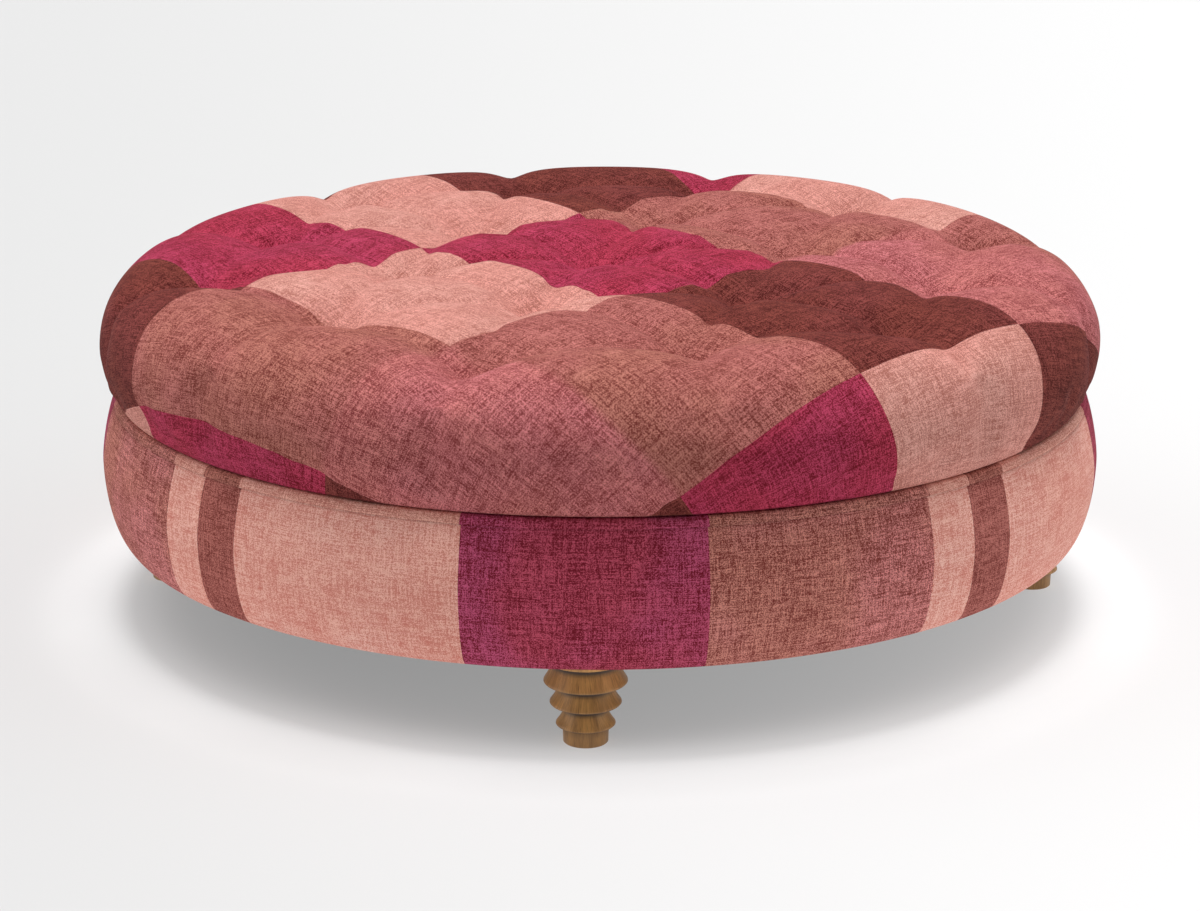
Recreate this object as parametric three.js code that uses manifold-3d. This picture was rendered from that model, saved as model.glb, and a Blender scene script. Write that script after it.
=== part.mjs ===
// Round upholstered tuffet: a padded band on four turned feet, with a tufted cushion on top.
// Millimetres, +Z up, origin on the floor under the middle. The front foot stands towards -Y.

import * as THREE from 'three';
import { mergeVertices } from 'three/addons/utils/BufferGeometryUtils.js';
import Module from 'manifold-3d';

const wasm = await Module();
wasm.setup();

// Clearances and cloth
const seatGap = 0.3;            // between pieces that touch
const clothThickness = 2;       // cover cloth with its lining
const dustClothThickness = 1;   // black cloth that closes the underside
const hemWidth = 30;            // cloth turned in and stapled
const hemTrim = 4;              // from the foot bolts out to the lower hem
const cutOverrun = 5;           // how far a cutting tool passes the faces it cuts
const mergeTolerance = 1e-4;    // vertices closer than this are one

// Timber frame inside the band
const frameRadius = 517;
const ringWidth = 100;
const plyThickness = 18;
const bandBoardThickness = 3;   // bent board round the frame
const postDepth = 45;           // along the radius
const postWidth = 60;
const railThickness = 25;
const railHeight = 65;
const tieRelief = 4;            // room round the middle tie where the rails cross
const legBlockDepth = 90;
const legBlockWidth = 100;
const legBlockEdgeGap = 4;      // from the frame's edge to the block
const postNutGap = 5.3;         // from a foot's tee nut to the post beside it

// Padded band
const undersideHeight = 90;     // floor to underside
const bandHeight = 153;         // underside to the band's top edge
const bellyRise = 74;           // underside to the fullest part of the band
const bellyPadding = 33;        // from the frame out to the cover, at the belly
const lowerEdgePadding = 9.5;
const rimPadding = 11.5;
const lowerRoundness = 1.74;    // exponents of the superellipse arcs below and above the belly
const upperRoundness = 1.79;

// Feet and their fixings
const footCount = 4;
const footEdgeInset = 29;       // from the frame's edge in to a foot's axis
const ringCount = 3;
const lowestRingRadius = 29.5;
const ringRadiusStep = 6;
const lowestRingHeight = 19.8;
const ringLip = 2;              // half the thickness of a ring's rounded nose
const ringNoseDepth = 1.1;
const neckInset = 4.9;          // from a ring's rim in to the neck above it
const flareHeight = 6.6;        // height of the hollow under each ring
const toeInset = 7.9;           // from the lowest ring's rim in to the toe
const toeFlare = 1.4;           // how much wider the toe is at its top
const toeChamfer = 0.8;
const collarOverhang = 0.5;     // beyond the top ring's rim
const collarThickness = 2.9;
const boltRadius = 4;
const boltBoreDepth = 40;
const boltPointLength = 6;
const boltStandOut = 1.5;       // above the tee nut
const teeNutRadius = 11;
const teeNutFlange = 1.6;
const teeNutBarrelWall = 0.9;
const teeNutBarrelLength = 10;

// Cushion: board, foam and tufted cover with its filling
const tuckOverhang = 8;         // from the frame out to where the cushion meets the band
const sideBulge = 29.4;         // from the tuck out to the fullest part of the cushion's side
const fullestRise = 40;         // from the band's rim up to it
const shoulderInset = 120;      // from the fullest radius in to where the crown starts
const shoulderRoundness = 2.14;
const tuckRoundness = 2;
const foamThickness = 77;
const fillingDepth = 45.5;      // filling over the foam, at the middle of the crown
const tuftEdgeInset = 114.4;    // from the fullest radius in to the outermost tufts
const tuftTurn = -15;           // azimuth in degrees of the first row of tufts
const tieRadius = 1.5;
const tieHoleRadius = 3;
const foamWellRadius = 12;
const tieWasherRadius = 9;
const tieWasherThickness = 1.6;
const tieDiscRadius = 8;
const tieDiscThickness = 2;

// Screws that hold the cushion board on the frame
const screwCount = 4;
const screwCircleInset = 28;    // from the upper ring's inner edge
const screwRadius = 2.2;
const screwHeadRadius = 5;
const screwHeadHeight = 3;
const screwGrip = 12;           // length in the cushion board

// Shares of the filling's depth and of the tuft pitch that shape the tufted top
const crownDropShare = 0.02;
const tuftDepthShare = 0.61;
const valleyDepthShare = 0.145;
const creaseDepthShare = 0.2;
const tuftWidthShare = 0.145;
const valleyWidthShare = 0.125;
const creaseWidthShare = 0.22;
const tipSofteningShare = 0.05;
const creaseStartShare = 0.09;
const neighbourShare = 1.1;     // reach within which a tuft has its neighbours

// Mesh finenesses
const roundSegments = 72;
const footSegments = 20;
const smallSegments = 8;
const tieSegments = 6;
const arcSteps = 4;
const sideSteps = 6;

// Heights of the layers, from the floor up
const bellyHeight = undersideHeight + bellyRise;
const rimHeight = undersideHeight + bandHeight;
const coverBottom = undersideHeight + dustClothThickness + seatGap;
const lowerRingBottom = coverBottom + clothThickness + seatGap;
const lowerRingTop = lowerRingBottom + plyThickness;
const legBlockBottom = lowerRingTop + seatGap;
const legBlockTop = legBlockBottom + plyThickness;
const upperRingTop = rimHeight - clothThickness - seatGap;
const upperRingBottom = upperRingTop - plyThickness;
const cushionBottom = rimHeight + seatGap;
const boardBottom = cushionBottom + clothThickness + seatGap;
const boardTop = boardBottom + plyThickness;
const foamBottom = boardTop + seatGap;
const foamTop = foamBottom + foamThickness;
const crownHeight = foamTop + fillingDepth;
const railTop = boardBottom - seatGap;
const railBottom = railTop - railHeight;
const footHeight = undersideHeight - seatGap;

// Radii that several pieces share
const bandRadius = frameRadius + bellyPadding;
const lowerEdgeRadius = frameRadius + lowerEdgePadding;
const rimRadius = frameRadius + rimPadding;
const tuckRadius = frameRadius + tuckOverhang;
const cushionRadius = tuckRadius + sideBulge;
const footCircleRadius = frameRadius - footEdgeInset;
const ringInnerRadius = frameRadius - ringWidth;
const boardRadius = tuckRadius - clothThickness - seatGap;
const shoulderRadius = cushionRadius - shoulderInset;
const legPostRadius = footCircleRadius - teeNutRadius - postNutGap - postDepth / 2;
const screwCircleRadius = ringInnerRadius + screwCircleInset;
const boltHoleRadius = boltRadius + seatGap;
const teeNutBarrelRadius = boltHoleRadius + teeNutBarrelWall;
const barrelHoleRadius = teeNutBarrelRadius + seatGap;
const screwHoleRadius = screwRadius + seatGap;
const tuftPitch = (cushionRadius - tuftEdgeInset) / 2;

// Colours
const colours = {
  linen: { color: 0xb0635f, roughness: 0.95, metalness: 0 },
  band: { color: 0xc0827a, roughness: 0.95, metalness: 0 },
  oak: { color: 0x7d5a37, roughness: 0.5, metalness: 0 },
  ply: { color: 0xd2b48c, roughness: 0.8, metalness: 0 },
  pine: { color: 0xdcc29a, roughness: 0.85, metalness: 0 },
  board: { color: 0x8b6b4a, roughness: 0.8, metalness: 0 },
  foam: { color: 0xe8e0b8, roughness: 1, metalness: 0 },
  dustCloth: { color: 0x1b1b1d, roughness: 0.95, metalness: 0 },
  twine: { color: 0xe6dfcf, roughness: 0.9, metalness: 0 },
  zinc: { color: 0xa9adb2, roughness: 0.4, metalness: 1 },
};

const tuffet = new THREE.Group();
const footNames = ['front', 'right', 'back', 'left'];
const toRadians = THREE.MathUtils.degToRad;

// Point at an azimuth, in degrees from the front towards the right, and a radius
function polar(azimuth, radius) {
  const angle = toRadians(azimuth);
  return new THREE.Vector2(radius * Math.sin(angle), -radius * Math.cos(angle));
}

// Closed geometry with shared vertices, no flat triangles and its faces pointing out
function weld(geometry) {
  const bare = geometry.index ? geometry : mergeVertices(geometry);
  bare.deleteAttribute('normal');
  bare.deleteAttribute('uv');
  const merged = mergeVertices(bare, mergeTolerance);
  const corners = Array.from(merged.index.array);
  const kept = [];
  let volume = 0;
  const [a, b, c] = [new THREE.Vector3(), new THREE.Vector3(), new THREE.Vector3()];
  for (let i = 0; i < corners.length; i += 3) {
    const [p, q, r] = corners.slice(i, i + 3);
    if (p === q || q === r || r === p) continue;
    a.fromBufferAttribute(merged.attributes.position, p);
    b.fromBufferAttribute(merged.attributes.position, q);
    c.fromBufferAttribute(merged.attributes.position, r);
    volume += a.dot(b.cross(c));
    kept.push([p, q, r]);
  }
  merged.setIndex(kept.flatMap(([p, q, r]) => (volume < 0 ? [r, q, p] : [p, q, r])));
  return merged;
}

// Revolved solid about Z from a list of [radius, height] points
function revolve(points, segments = smallSegments) {
  const profile = points.map(([radius, height]) => new THREE.Vector2(radius, height));
  return weld(new THREE.LatheGeometry(profile, segments).rotateX(Math.PI / 2));
}

// Revolved ring from a profile that doesn't touch the axis
function revolveRing(points, segments = smallSegments) {
  return revolve([...points, points[0]], segments);
}

function disc(radius, bottom, top, segments = smallSegments) {
  return revolve([[0, bottom], [radius, bottom], [radius, top], [0, top]], segments);
}

function flatRing(inner, outer, bottom, top, segments = roundSegments) {
  return revolveRing([[inner, bottom], [outer, bottom], [outer, top], [inner, top]], segments);
}

function block(sizeX, sizeY, bottom, top) {
  return weld(new THREE.BoxGeometry(sizeX, sizeY, top - bottom).translate(0, 0, (bottom + top) / 2));
}

function toManifold(geometry) {
  return new wasm.Manifold(new wasm.Mesh({
    numProp: 3,
    vertProperties: new Float32Array(geometry.attributes.position.array),
    triVerts: new Uint32Array(geometry.index.array),
  }));
}

// Geometry of a body with every tool cut out of it
function cut(body, tools) {
  let solid = toManifold(body);
  for (const tool of tools) solid = solid.subtract(toManifold(tool));
  const mesh = solid.getMesh();
  const geometry = new THREE.BufferGeometry();
  geometry.setAttribute('position', new THREE.BufferAttribute(mesh.vertProperties, 3));
  geometry.setIndex(new THREE.BufferAttribute(mesh.triVerts, 1));
  return geometry;
}

// Round cutting tool at an azimuth and radius
function drill(azimuth, radius, holeRadius, bottom, top) {
  const { x, y } = polar(azimuth, radius);
  return disc(holeRadius, bottom, top).translate(x, y, 0);
}

function addPiece(name, geometry, finish, azimuth = 0, radius = 0) {
  const mesh = new THREE.Mesh(geometry, new THREE.MeshStandardMaterial(colours[finish]));
  const { x, y } = polar(azimuth, radius);
  mesh.name = name;
  mesh.position.set(x, y, 0);
  mesh.rotation.z = toRadians(azimuth);
  tuffet.add(mesh);
}

// Even azimuths round the part, from a first one
function around(count, first = 0) {
  return Array.from({ length: count }, (_, i) => first + (i * 360) / count);
}

const footAzimuths = around(footCount);
const betweenFeet = around(footCount, 180 / footCount);
const screwAzimuths = around(screwCount, 90 / footCount);

// Tufts on a triangular lattice, two rings round the middle one
function tuftLattice() {
  const tufts = [{ azimuth: 0, radius: 0, outer: false }];
  for (const azimuth of around(6, tuftTurn)) {
    tufts.push({ azimuth, radius: tuftPitch, outer: false });
    tufts.push({ azimuth, radius: 2 * tuftPitch, outer: true });
    tufts.push({ azimuth: azimuth + 30, radius: Math.sqrt(3) * tuftPitch, outer: true });
  }
  return tufts.map((tuft) => ({ ...tuft, place: polar(tuft.azimuth, tuft.radius) }));
}

const tufts = tuftLattice();

// Padded band
// Profile from the lower edge to the rim, moved in by an inset
function bandProfile(inset) {
  const [low, high] = [coverBottom + inset, rimHeight - inset];
  const points = [];
  for (let i = -arcSteps; i <= arcSteps; i += 1) {
    const turn = (Math.abs(i) / arcSteps) * (Math.PI / 2);
    const [end, edge, power] = i < 0
      ? [low, lowerEdgeRadius, 2 / lowerRoundness]
      : [high, rimRadius, 2 / upperRoundness];
    const radius = edge + (bandRadius - edge) * Math.max(Math.cos(turn), 0) ** power;
    points.push([radius - inset, bellyHeight + (end - bellyHeight) * Math.sin(turn) ** power]);
  }
  return points;
}

function sideCover() {
  const outside = bandProfile(0);
  const inside = bandProfile(clothThickness).reverse();
  const hemInner = [footCircleRadius + boltHoleRadius + hemTrim, rimRadius - hemWidth];
  return revolveRing([
    [hemInner[0], coverBottom],
    ...outside,
    [hemInner[1], rimHeight],
    [hemInner[1], rimHeight - clothThickness],
    ...inside,
    [hemInner[0], coverBottom + clothThickness],
  ], roundSegments);
}

function sidePadding() {
  const outside = bandProfile(clothThickness + seatGap);
  const innerRadius = frameRadius + seatGap + bandBoardThickness + seatGap;
  return revolveRing([
    [innerRadius, outside[0][1]],
    ...outside,
    [innerRadius, outside.at(-1)[1]],
  ], roundSegments);
}

function dustCloth() {
  const radius = (footCircleRadius + lowerEdgeRadius) / 2;
  const cloth = disc(radius, undersideHeight, undersideHeight + dustClothThickness, roundSegments);
  const [low, high] = [undersideHeight - cutOverrun, undersideHeight + cutOverrun];
  return cut(cloth, footAzimuths.map((azimuth) => (
    drill(azimuth, footCircleRadius, boltHoleRadius, low, high))));
}

addPiece('side_cover', sideCover(), 'band');
addPiece('side_padding', sidePadding(), 'foam');
addPiece('dust_cloth', dustCloth(), 'dustCloth');

// Timber frame
function lowerRing() {
  const ring = flatRing(ringInnerRadius, frameRadius, lowerRingBottom, lowerRingTop);
  const [low, high] = [lowerRingBottom - cutOverrun, lowerRingTop + cutOverrun];
  return cut(ring, footAzimuths.map((azimuth) => (
    drill(azimuth, footCircleRadius, barrelHoleRadius, low, high))));
}

function upperRing() {
  const ring = flatRing(ringInnerRadius, frameRadius, upperRingBottom, upperRingTop);
  const [low, high] = [upperRingBottom - cutOverrun, upperRingTop + cutOverrun];
  return cut(ring, screwAzimuths.map((azimuth) => (
    drill(azimuth, screwCircleRadius, screwHoleRadius, low, high))));
}

function bandBoard() {
  const inner = frameRadius + seatGap;
  return flatRing(inner, inner + bandBoardThickness, lowerRingBottom, upperRingTop);
}

// Block centred on the foot's azimuth, in the frame of addPiece at its own radius
const legBlockRadius = frameRadius - legBlockEdgeGap - legBlockDepth / 2;

function legBlock() {
  const hole = disc(barrelHoleRadius, legBlockBottom - cutOverrun, legBlockTop + cutOverrun)
    .translate(0, legBlockRadius - footCircleRadius, 0);
  return cut(block(legBlockWidth, legBlockDepth, legBlockBottom, legBlockTop), [hole]);
}

// Cross rail seen from its side: tongues under the upper ring, and a halving joint at the middle
function crossRail(notchFromTop) {
  const reach = legPostRadius + postDepth / 2;
  const ringFlat = ringInnerRadius * Math.cos(Math.PI / roundSegments);
  const shoulder = Math.sqrt(ringFlat ** 2 - (railThickness / 2) ** 2) - seatGap;
  const tongueTop = upperRingBottom - seatGap;
  const notch = railThickness / 2 + seatGap;
  const middle = (railTop + railBottom) / 2;
  const relief = tieWasherRadius + tieRelief;
  const half = notchFromTop
    ? [[shoulder, railTop], [notch, railTop], [notch, middle - seatGap / 2]]
    : [[shoulder, railTop], [relief, railTop], [relief, railTop - tieWasherThickness - tieRelief]];
  const under = notchFromTop
    ? [[reach, railBottom]]
    : [[notch, middle + seatGap / 2], [notch, railBottom], [reach, railBottom]];
  const right = [...under, [reach, tongueTop], [shoulder, tongueTop], ...half];
  const left = right.map(([x, z]) => [-x, z]).reverse();
  const outline = new THREE.Shape([...right, ...left].map(([x, z]) => new THREE.Vector2(x, z)));
  const rail = new THREE.ExtrudeGeometry(outline, { depth: railThickness, bevelEnabled: false });
  return weld(rail.translate(0, 0, -railThickness / 2).rotateX(Math.PI / 2));
}

addPiece('lower_ring', lowerRing(), 'ply');
addPiece('upper_ring', upperRing(), 'ply');
addPiece('band_board', bandBoard(), 'board');
footAzimuths.forEach((azimuth, i) => {
  const legPost = block(postWidth, postDepth, legBlockTop + seatGap, railBottom - seatGap);
  addPiece(`leg_block_${footNames[i]}`, legBlock(), 'ply', azimuth, legBlockRadius);
  addPiece(`leg_post_${footNames[i]}`, legPost, 'pine', azimuth, legPostRadius);
});
betweenFeet.forEach((azimuth, i) => {
  const post = block(postWidth, postDepth, legBlockBottom, upperRingBottom - seatGap);
  addPiece(`side_post_${i + 1}`, post, 'pine', azimuth, frameRadius - ringWidth / 2);
});
addPiece('cross_rail_wide', crossRail(true), 'pine');
addPiece('cross_rail_deep', crossRail(false), 'pine', 90);

// Feet
// Turned profile from the floor up: a toe, rings that grow upwards, a collar and the bolt's bore
function footProfile() {
  const pitch = (footHeight - collarThickness - lowestRingHeight) / ringCount;
  const toeRadius = lowestRingRadius - toeInset;
  const collarRadius = lowestRingRadius + (ringCount - 1) * ringRadiusStep + collarOverhang;
  const points = [
    [0, 0],
    [toeRadius - toeChamfer, 0],
    [toeRadius, toeChamfer],
    [toeRadius + toeFlare, lowestRingHeight - flareHeight],
  ];
  for (let i = 0; i < ringCount; i += 1) {
    const radius = lowestRingRadius + i * ringRadiusStep;
    const height = lowestRingHeight + i * pitch;
    const neck = radius - neckInset;
    points.push(
      [radius - ringNoseDepth, height - ringLip],
      [radius, height],
      [radius - ringNoseDepth, height + ringLip],
      [(radius + neck - ringNoseDepth) / 2, height + (pitch - flareHeight) / 2],
      [neck, height + pitch - flareHeight],
    );
  }
  points.push(
    [collarRadius, footHeight - collarThickness],
    [collarRadius, footHeight],
    [boltHoleRadius, footHeight],
    [boltHoleRadius, footHeight - boltBoreDepth],
    [0, footHeight - boltBoreDepth],
  );
  return points;
}

function hangerBolt() {
  const bottom = footHeight - boltBoreDepth + seatGap;
  const top = legBlockTop + seatGap + teeNutFlange + boltStandOut;
  return revolve([
    [0, bottom],
    [boltRadius / 2, bottom],
    [boltRadius, bottom + boltPointLength],
    [boltRadius, top],
    [0, top],
  ]);
}

function teeNut() {
  const flangeBottom = legBlockTop + seatGap;
  return revolveRing([
    [boltHoleRadius, flangeBottom - teeNutBarrelLength],
    [teeNutBarrelRadius, flangeBottom - teeNutBarrelLength],
    [teeNutBarrelRadius, flangeBottom],
    [teeNutRadius, flangeBottom],
    [teeNutRadius, flangeBottom + teeNutFlange],
    [boltHoleRadius, flangeBottom + teeNutFlange],
  ]);
}

footAzimuths.forEach((azimuth, i) => {
  addPiece(`foot_${footNames[i]}`, revolve(footProfile(), footSegments), 'oak', azimuth, footCircleRadius);
  addPiece(`hanger_bolt_${footNames[i]}`, hangerBolt(), 'zinc', azimuth, footCircleRadius);
  addPiece(`tee_nut_${footNames[i]}`, teeNut(), 'zinc', azimuth, footCircleRadius);
});

// Cushion
// Outline before tufting: a low crown, a rounded shoulder, and a side drawn in to the tuck
function cushionOutline() {
  const fullestHeight = rimHeight + fullestRise;
  const shoulderHeight = crownHeight - crownDropShare * fillingDepth;
  const samples = 60;
  const points = [];
  for (let i = 0; i < samples; i += 1) {
    const share = i / samples;
    points.push([shoulderRadius * share, crownHeight - (crownHeight - shoulderHeight) * share ** 2]);
  }
  for (let i = 0; i < samples; i += 1) {
    const turn = (i / samples) * (Math.PI / 2);
    const power = 2 / shoulderRoundness;
    points.push([
      shoulderRadius + (cushionRadius - shoulderRadius) * Math.sin(turn) ** power,
      fullestHeight + (shoulderHeight - fullestHeight) * Math.cos(turn) ** power,
    ]);
  }
  for (let i = 0; i <= samples; i += 1) {
    const turn = (i / samples) * (Math.PI / 2);
    const power = 2 / tuckRoundness;
    points.push([
      tuckRadius + (cushionRadius - tuckRadius) * Math.max(Math.cos(turn), 0) ** power,
      fullestHeight + (cushionBottom - fullestHeight) * Math.sin(turn) ** power,
    ]);
  }
  return points;
}

const outline = cushionOutline();
const outlineArcs = [0];
for (let i = 1; i < outline.length; i += 1) {
  const step = Math.hypot(outline[i][0] - outline[i - 1][0], outline[i][1] - outline[i - 1][1]);
  outlineArcs.push(outlineArcs[i - 1] + step);
}
const outlineLength = outlineArcs.at(-1);

// Radius, height and outward direction at an arc length from the middle of the crown
function outlineAt(arc) {
  const beyond = outlineArcs.findIndex((reach) => reach > arc);
  const next = beyond < 0 ? outline.length - 1 : beyond;
  const [[r0, z0], [r1, z1]] = [outline[next - 1], outline[next]];
  const step = outlineArcs[next] - outlineArcs[next - 1];
  const share = (arc - outlineArcs[next - 1]) / step;
  return {
    radius: r0 + (r1 - r0) * share,
    height: z0 + (z1 - z0) * share,
    outward: [-(z1 - z0) / step, (r1 - r0) / step],
  };
}

// Rounded spike that is 1 at the middle and fades with distance
function dip(distance, width) {
  const softness = Math.sqrt(tipSofteningShare);
  return Math.exp(softness - Math.hypot(distance / width, softness));
}

function distanceToSegment(point, start, end) {
  const along = end.clone().sub(start);
  const share = THREE.MathUtils.clamp(point.clone().sub(start).dot(along) / along.lengthSq(), 0, 1);
  return point.distanceTo(start.clone().addScaledVector(along, share));
}

const valleys = tufts.flatMap((tuft, i) => tufts.slice(0, i)
  .filter((other) => other.place.distanceTo(tuft.place) < neighbourShare * tuftPitch)
  .map((other) => [tuft.place, other.place]));

// How far the tufts, the valleys between them and the creases over the edge pull the surface in
function tuftPull(azimuth, arc, radius) {
  const point = polar(azimuth, arc);
  let pull = 0;
  for (const tuft of tufts) {
    const depth = tuftDepthShare * fillingDepth;
    pull += depth * dip(point.distanceTo(tuft.place), tuftWidthShare * tuftPitch);
    if (!tuft.outer) continue;
    const turn = THREE.MathUtils.euclideanModulo(azimuth - tuft.azimuth + 180, 360) - 180;
    const across = Math.abs(toRadians(turn)) * radius;
    const start = 1 / (1 + Math.exp((tuft.radius - arc) / (creaseStartShare * tuftPitch)));
    const end = 1 - (Math.max(arc - tuft.radius, 0) / (outlineLength - tuft.radius)) ** 2;
    const crease = creaseDepthShare * fillingDepth * dip(across, creaseWidthShare * tuftPitch);
    pull += Math.abs(turn) < 90 ? crease * start * end : 0;
  }
  const nearest = Math.min(...valleys.map(([start, end]) => distanceToSegment(point, start, end)));
  const valley = Math.exp(-((nearest / (valleyWidthShare * tuftPitch)) ** 2));
  return pull + valleyDepthShare * fillingDepth * valley;
}

// Rings of vertices: the first twelve gain six vertices each, so that one lands on every tuft
const ringShares = [1 / 6, 1 / 3, 1 / 2, 2 / 3, 5 / 6, 1, 1.19, 1.375, 1.555, Math.sqrt(3), 1.866, 2];

function cushionRings() {
  const rings = [];
  const surfacePoint = (azimuth, arc) => {
    const { radius, height, outward } = outlineAt(arc);
    const atEdge = Math.min(1, (outlineLength - arc) / tuftPitch / creaseWidthShare);
    const pull = tuftPull(azimuth, arc, radius) * Math.max(atEdge, 0);
    const flat = polar(azimuth, radius - outward[0] * pull);
    return [flat.x, flat.y, height - outward[1] * pull];
  };
  ringShares.forEach((share, i) => {
    rings.push(around(6 * (i + 1), tuftTurn).map((azimuth) => surfacePoint(azimuth, share * tuftPitch)));
  });
  const start = ringShares.at(-1) * tuftPitch;
  for (let i = 1; i <= sideSteps; i += 1) {
    const arc = start + ((outlineLength - start) * i) / sideSteps;
    rings.push(around(roundSegments, tuftTurn).map((azimuth) => surfacePoint(azimuth, arc)));
  }
  const hemInner = tuckRadius - hemWidth;
  const inside = [
    [hemInner, cushionBottom],
    [hemInner, cushionBottom + clothThickness],
    [boardRadius + seatGap, cushionBottom + clothThickness],
    [boardRadius + seatGap, foamTop + seatGap],
  ];
  for (const [radius, height] of inside) {
    rings.push(around(roundSegments, tuftTurn).map((azimuth) => {
      const flat = polar(azimuth, radius);
      return [flat.x, flat.y, height];
    }));
  }
  return { top: surfacePoint(0, 0), rings, bottom: [0, 0, foamTop + seatGap] };
}

function tuftedCushion() {
  const { top, rings, bottom } = cushionRings();
  const vertices = [top, ...rings.flat(), bottom];
  const starts = rings.map((_, i) => 1 + rings.slice(0, i).flat().length);
  const corner = (ring, i) => starts[ring] + (i % rings[ring].length);
  const triangles = [];
  for (let i = 0; i < 6; i += 1) triangles.push([0, corner(0, i), corner(0, i + 1)]);
  for (let ring = 1; ring < rings.length; ring += 1) {
    const [inner, outer] = [rings[ring - 1].length, rings[ring].length];
    for (let sector = 0; sector < 6; sector += 1) {
      const [innerStart, outerStart] = [(sector * inner) / 6, (sector * outer) / 6];
      for (let i = 0; i < outer / 6; i += 1) {
        const [near, far] = [innerStart + i, outerStart + i];
        triangles.push([corner(ring - 1, near), corner(ring, far), corner(ring, far + 1)]);
        if (i < inner / 6) {
          triangles.push([corner(ring - 1, near), corner(ring, far + 1), corner(ring - 1, near + 1)]);
        }
      }
    }
  }
  const last = rings.length - 1;
  for (let i = 0; i < roundSegments; i += 1) {
    triangles.push([corner(last, i), vertices.length - 1, corner(last, i + 1)]);
  }
  const geometry = new THREE.BufferGeometry();
  geometry.setAttribute('position', new THREE.Float32BufferAttribute(vertices.flat(), 3));
  geometry.setIndex(triangles.flat());
  return geometry;
}

function cushionBoard() {
  const board = disc(boardRadius, boardBottom, boardTop, roundSegments);
  const [low, high] = [boardBottom - cutOverrun, boardTop + cutOverrun];
  const tieHoles = tufts.map(({ azimuth, radius }) => drill(azimuth, radius, tieHoleRadius, low, high));
  const screwHoles = screwAzimuths.map((azimuth) => (
    drill(azimuth, screwCircleRadius, screwHoleRadius, low, boardBottom + screwGrip + seatGap)));
  return cut(board, [...tieHoles, ...screwHoles]);
}

function foamPad() {
  const pad = disc(boardRadius, foamBottom, foamTop, roundSegments);
  const [low, high] = [foamBottom - cutOverrun, foamTop + cutOverrun];
  return cut(pad, tufts.map(({ azimuth, radius }) => (
    drill(azimuth, radius, foamWellRadius, low, high))));
}

// Twine pulled through the foam and the board, with a washer under the board and a disc under the cover
function tuftTie() {
  const washerTop = boardBottom - seatGap;
  const discTop = foamTop;
  return revolve([
    [0, washerTop - tieWasherThickness],
    [tieWasherRadius, washerTop - tieWasherThickness],
    [tieWasherRadius, washerTop],
    [tieRadius, washerTop],
    [tieRadius, discTop - tieDiscThickness],
    [tieDiscRadius, discTop - tieDiscThickness],
    [tieDiscRadius, discTop],
    [0, discTop],
  ], tieSegments);
}

function cushionScrew() {
  const headTop = upperRingBottom - seatGap;
  const tip = boardBottom + screwGrip;
  return revolve([
    [0, headTop - screwHeadHeight],
    [screwHeadRadius / 2, headTop - screwHeadHeight],
    [screwHeadRadius, headTop],
    [screwRadius, headTop],
    [screwRadius, tip - screwRadius],
    [0, tip],
  ]);
}

addPiece('cushion_board', cushionBoard(), 'ply');
addPiece('foam_pad', foamPad(), 'foam');
addPiece('tufted_cushion', tuftedCushion(), 'linen');
tufts.forEach(({ azimuth, radius }, i) => {
  addPiece(`tuft_tie_${String(i + 1).padStart(2, '0')}`, tuftTie(), 'twine', azimuth, radius);
});
screwAzimuths.forEach((azimuth, i) => {
  addPiece(`cushion_screw_${i + 1}`, cushionScrew(), 'zinc', azimuth, screwCircleRadius);
});

export default tuffet;
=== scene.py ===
"""Looks of a round tufted tuffet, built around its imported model. Metres, +Z up, front foot towards -Y."""

import logging
import math
from collections.abc import Mapping, Sequence
from dataclasses import astuple, dataclass, field
from enum import Enum
from typing import Any, Union

import bpy
import numpy as np
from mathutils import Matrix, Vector


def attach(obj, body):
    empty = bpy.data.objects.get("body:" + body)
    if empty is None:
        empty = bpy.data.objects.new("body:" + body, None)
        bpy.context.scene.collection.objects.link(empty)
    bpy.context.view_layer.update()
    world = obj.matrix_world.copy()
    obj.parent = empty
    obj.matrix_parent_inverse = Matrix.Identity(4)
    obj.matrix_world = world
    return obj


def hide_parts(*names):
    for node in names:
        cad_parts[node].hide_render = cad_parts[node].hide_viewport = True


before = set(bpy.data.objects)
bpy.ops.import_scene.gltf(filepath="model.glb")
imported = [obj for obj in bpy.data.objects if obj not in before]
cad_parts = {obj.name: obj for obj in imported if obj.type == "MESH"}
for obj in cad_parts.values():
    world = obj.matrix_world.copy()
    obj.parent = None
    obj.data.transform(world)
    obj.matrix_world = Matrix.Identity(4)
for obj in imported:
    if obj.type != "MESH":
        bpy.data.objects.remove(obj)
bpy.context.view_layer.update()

log = logging.getLogger("tuffet")

ROOT = "root"
MM = 0.001

Array = np.ndarray
Object = bpy.types.Object
Material = bpy.types.Material
Colour = tuple[float, float, float]
Shades = tuple[tuple[float, Colour], ...]
Stops = Sequence[tuple[float, Sequence[float]]]
Triples = tuple[tuple[float, float, float], ...]
Value = Union["Socket", float]
Tones = tuple["Socket", Value, "Socket"]


def linear(colour: Colour) -> tuple[float, float, float, float]:
    """Turn a display colour into the linear one that shaders use.

    Args:
        colour: Red, green and blue, 0 to 255.

    Returns:
        Linear red, green and blue with an alpha of 1.
    """
    shares = [channel / 255 for channel in colour]
    dark = [share / 12.92 for share in shares]
    light = [((share + 0.055) / 1.055) ** 2.4 for share in shares]
    red, green, blue = (d if s <= 0.04045 else l for s, d, l in zip(shares, dark, light))
    return red, green, blue, 1.0


def polar(azimuth: Array, radius: Array) -> tuple[Array, Array]:
    """Return x and y at azimuths in degrees, from the front towards the right, and radii."""
    angle = np.radians(azimuth)
    return radius * np.sin(angle), -radius * np.cos(angle)


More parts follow.
